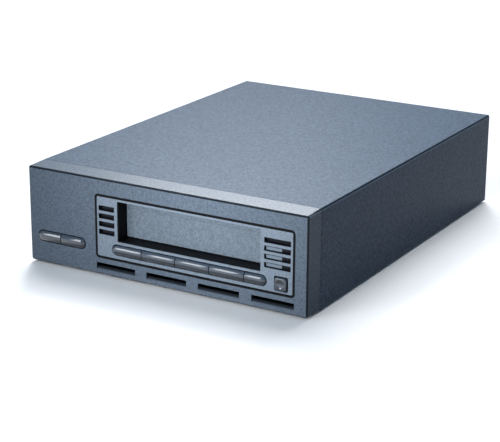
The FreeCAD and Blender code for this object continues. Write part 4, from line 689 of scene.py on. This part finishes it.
# ---------------------------------------------------------------- rear screws
def add_screw(name, x, y, z, radius, tall):
    """Pan head with a cross recess, facing the rear."""
    bm = bmesh.new()
    turns = [2 * math.pi * k / SCREW_SIDES for k in range(SCREW_SIDES)]
    grid = [[bm.verts.new((x + radius * share * math.cos(turn), y + tall * height,
                           z + radius * share * math.sin(turn))) for turn in turns]
            for share, height in SCREW_PROFILE]
    for a, b in zip(grid, grid[1:]):
        bridge(bm, a, b)
    arm, wide, deep = radius * CROSS_ARM, radius * CROSS_WIDE, tall * CROSS_DEEP
    cross = [(arm, -wide), (arm, wide), (wide, wide), (wide, arm), (-wide, arm), (-wide, wide),
             (-arm, wide), (-arm, -wide), (-wide, -wide), (-wide, -arm), (wide, -arm),
             (wide, -wide)]
    top = [bm.verts.new((x + a, y + tall, z + b)) for a, b in cross]
    floor = [bm.verts.new((x + a * CROSS_TAPER, y + tall - deep, z + b * CROSS_TAPER))
             for a, b in cross]
    bridge(bm, top, floor)
    bm.faces.new(floor)
    edges = [bm.edges.get(pair) for ring in (grid[-1], top) for pair in neighbours(ring)]
    bmesh.ops.triangle_fill(bm, edges=edges, use_beauty=True)
    piece(name, bm, "machined_steel", "enclosure")


fan_low, fan_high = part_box("fan_frame")
panel_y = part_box("rear_panel")[1].y
cover_low, cover_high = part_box("top_cover")
inlet_low, inlet_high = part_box("ac_inlet")

cover_places = (cover_low.x + COVER_SCREW_INSET, (cover_low.x + cover_high.x) / 2,
                cover_high.x - COVER_SCREW_INSET)
for number, x in enumerate(cover_places, 1):
    add_screw(f"cover_screw_{number}", x, cover_high.y, cover_high.z - COVER_SCREW_DROP,
              *COVER_SCREW)
for number, (u, w) in enumerate(((-1, -1), (1, -1), (-1, 1), (1, 1)), 1):
    add_screw(f"fan_screw_{number}", (fan_low.x + fan_high.x) / 2 + u * FAN_SCREW_OUT, panel_y,
              (fan_low.z + fan_high.z) / 2 + w * FAN_SCREW_OUT, *FAN_SCREW)
for number, side in enumerate((-1, 1), 1):
    add_screw(f"inlet_screw_{number}", (inlet_low.x + inlet_high.x) / 2 + side * INLET_SCREW_OUT,
              inlet_high.y, (inlet_low.z + inlet_high.z) / 2, *INLET_SCREW)


# ---------------------------------------------------------------- camera
def add_camera():
    """Camera of the photograph: level axes turned by azimuth, elevation and roll."""
    back = Vector((
        math.sin(CAMERA_AZIMUTH) * math.cos(CAMERA_ELEVATION),
        -math.cos(CAMERA_AZIMUTH) * math.cos(CAMERA_ELEVATION),
        math.sin(CAMERA_ELEVATION),
    ))
    across = (-back).cross(Vector((0, 0, 1))).normalized()
    above = across.cross(-back)
    right = across * math.cos(CAMERA_ROLL) + above * math.sin(CAMERA_ROLL)
    up = right.cross(-back)
    camera = bpy.data.cameras.new("camera")
    camera.sensor_width = CAMERA_SENSOR
    camera.lens = CAMERA_FOCAL * camera.sensor_width
    camera.clip_start = CAMERA_NEAR
    obj = bpy.data.objects.new("camera", camera)
    rotation = Matrix((right, up, back)).transposed().to_4x4()
    obj.matrix_world = Matrix.Translation(CAMERA_PLACE) @ rotation
    place_in_scene(obj)
    bpy.context.scene.camera = obj


# ---------------------------------------------------------------- light, floor and background
def add_lamp(name, kind, place, target, strength, colour=WHITE, mirrored=True, **settings):
    """Lamp aimed at a target; one that isn't mirrored lights surfaces but shows in no gloss."""
    light = bpy.data.lights.new(name, kind)
    light.energy = strength
    light.color = colour
    for key, value in settings.items():
        setattr(light, key, value)
    obj = bpy.data.objects.new(name, light)
    obj.location = place
    obj.rotation_euler = (Vector(target) - Vector(place)).to_track_quat("-Z", "Y").to_euler()
    obj.visible_camera = False
    obj.visible_glossy = mirrored
    place_in_scene(obj)


def add_world():
    """Even, bluish light from all round."""
    bpy.context.scene.view_settings.view_transform = "Standard"
    world = bpy.data.worlds.new("studio")
    bpy.context.scene.world = world
    world.use_nodes = True
    background = world.node_tree.nodes["Background"]
    background.inputs["Color"].default_value = WORLD_COLOUR
    background.inputs["Strength"].default_value = WORLD_LEVEL


def floor_material():
    """White as seen directly or in a mirror, but dark as a source of light."""
    g = Graph("floor")
    shown = g.add("ShaderNodeBsdfDiffuse", Color=FLOOR_SEEN)
    thrown = g.add("ShaderNodeBsdfDiffuse", Color=FLOOR_THROWN)
    path = g.add("ShaderNodeLightPath").outputs
    seen = g.either(path["Is Camera Ray"], path["Is Glossy Ray"])
    seen = g.either(seen, path["Is Transmission Ray"])
    blend = g.add("ShaderNodeMixShader", Fac=seen)
    g.feed(blend.inputs[1], thrown.outputs["BSDF"])
    g.feed(blend.inputs[2], shown.outputs["BSDF"])
    g.feed(g.nodes["Material Output"].inputs["Surface"], blend.outputs["Shader"])
    g.nodes.remove(g.shader)
    return g.material


def add_floor():
    """White floor that keeps the shadow, and throws less light back on the object."""
    bm = bmesh.new()
    bmesh.ops.create_grid(bm, x_segments=FLOOR_CELLS, y_segments=FLOOR_CELLS, size=FLOOR_HALF)
    floor = bpy.data.objects.new("floor", finished_mesh("floor", bm, floor_material()))
    floor.location.z = -FLOOR_DROP
    place_in_scene(floor)


add_camera()
add_world()
add_floor()
add_lamp("sky_light", "SUN", (-0.23, 0.66, 1.0), (0, 0, 0), 3.0, SUNLIGHT, angle=math.radians(42))
add_lamp("fill_light", "SUN", (-0.10, -1.0, 0.85), (0, 0, 0), 0.60, mirrored=False,
         angle=math.radians(30))
add_lamp("front_light", "SPOT", (0.07, -0.95, 0.18), (0.030, -0.146, 0.087), 52.0, mirrored=False,
         spot_size=math.radians(19.5), spot_blend=1.0, shadow_soft_size=0.09)
add_lamp("top_light", "SPOT", (-0.45, 0.55, 0.95), (0.07, -0.13, 0.069), 16.0,
         spot_size=math.radians(30), spot_blend=1.0, shadow_soft_size=0.10)
add_lamp("sheen_card", "AREA", (-1.95, 3.19, 2.26), (0.0, 0.0, 0.07), 48.0, CARD_LIGHT,
         shape="RECTANGLE", size=0.88, size_y=0.72)
add_lamp("key_card", "AREA", (-0.62, -1.23, 0.44), (0.0, -0.14, 0.03), 6.4, CARD_LIGHT,
         shape="RECTANGLE", size=0.5, size_y=0.56)
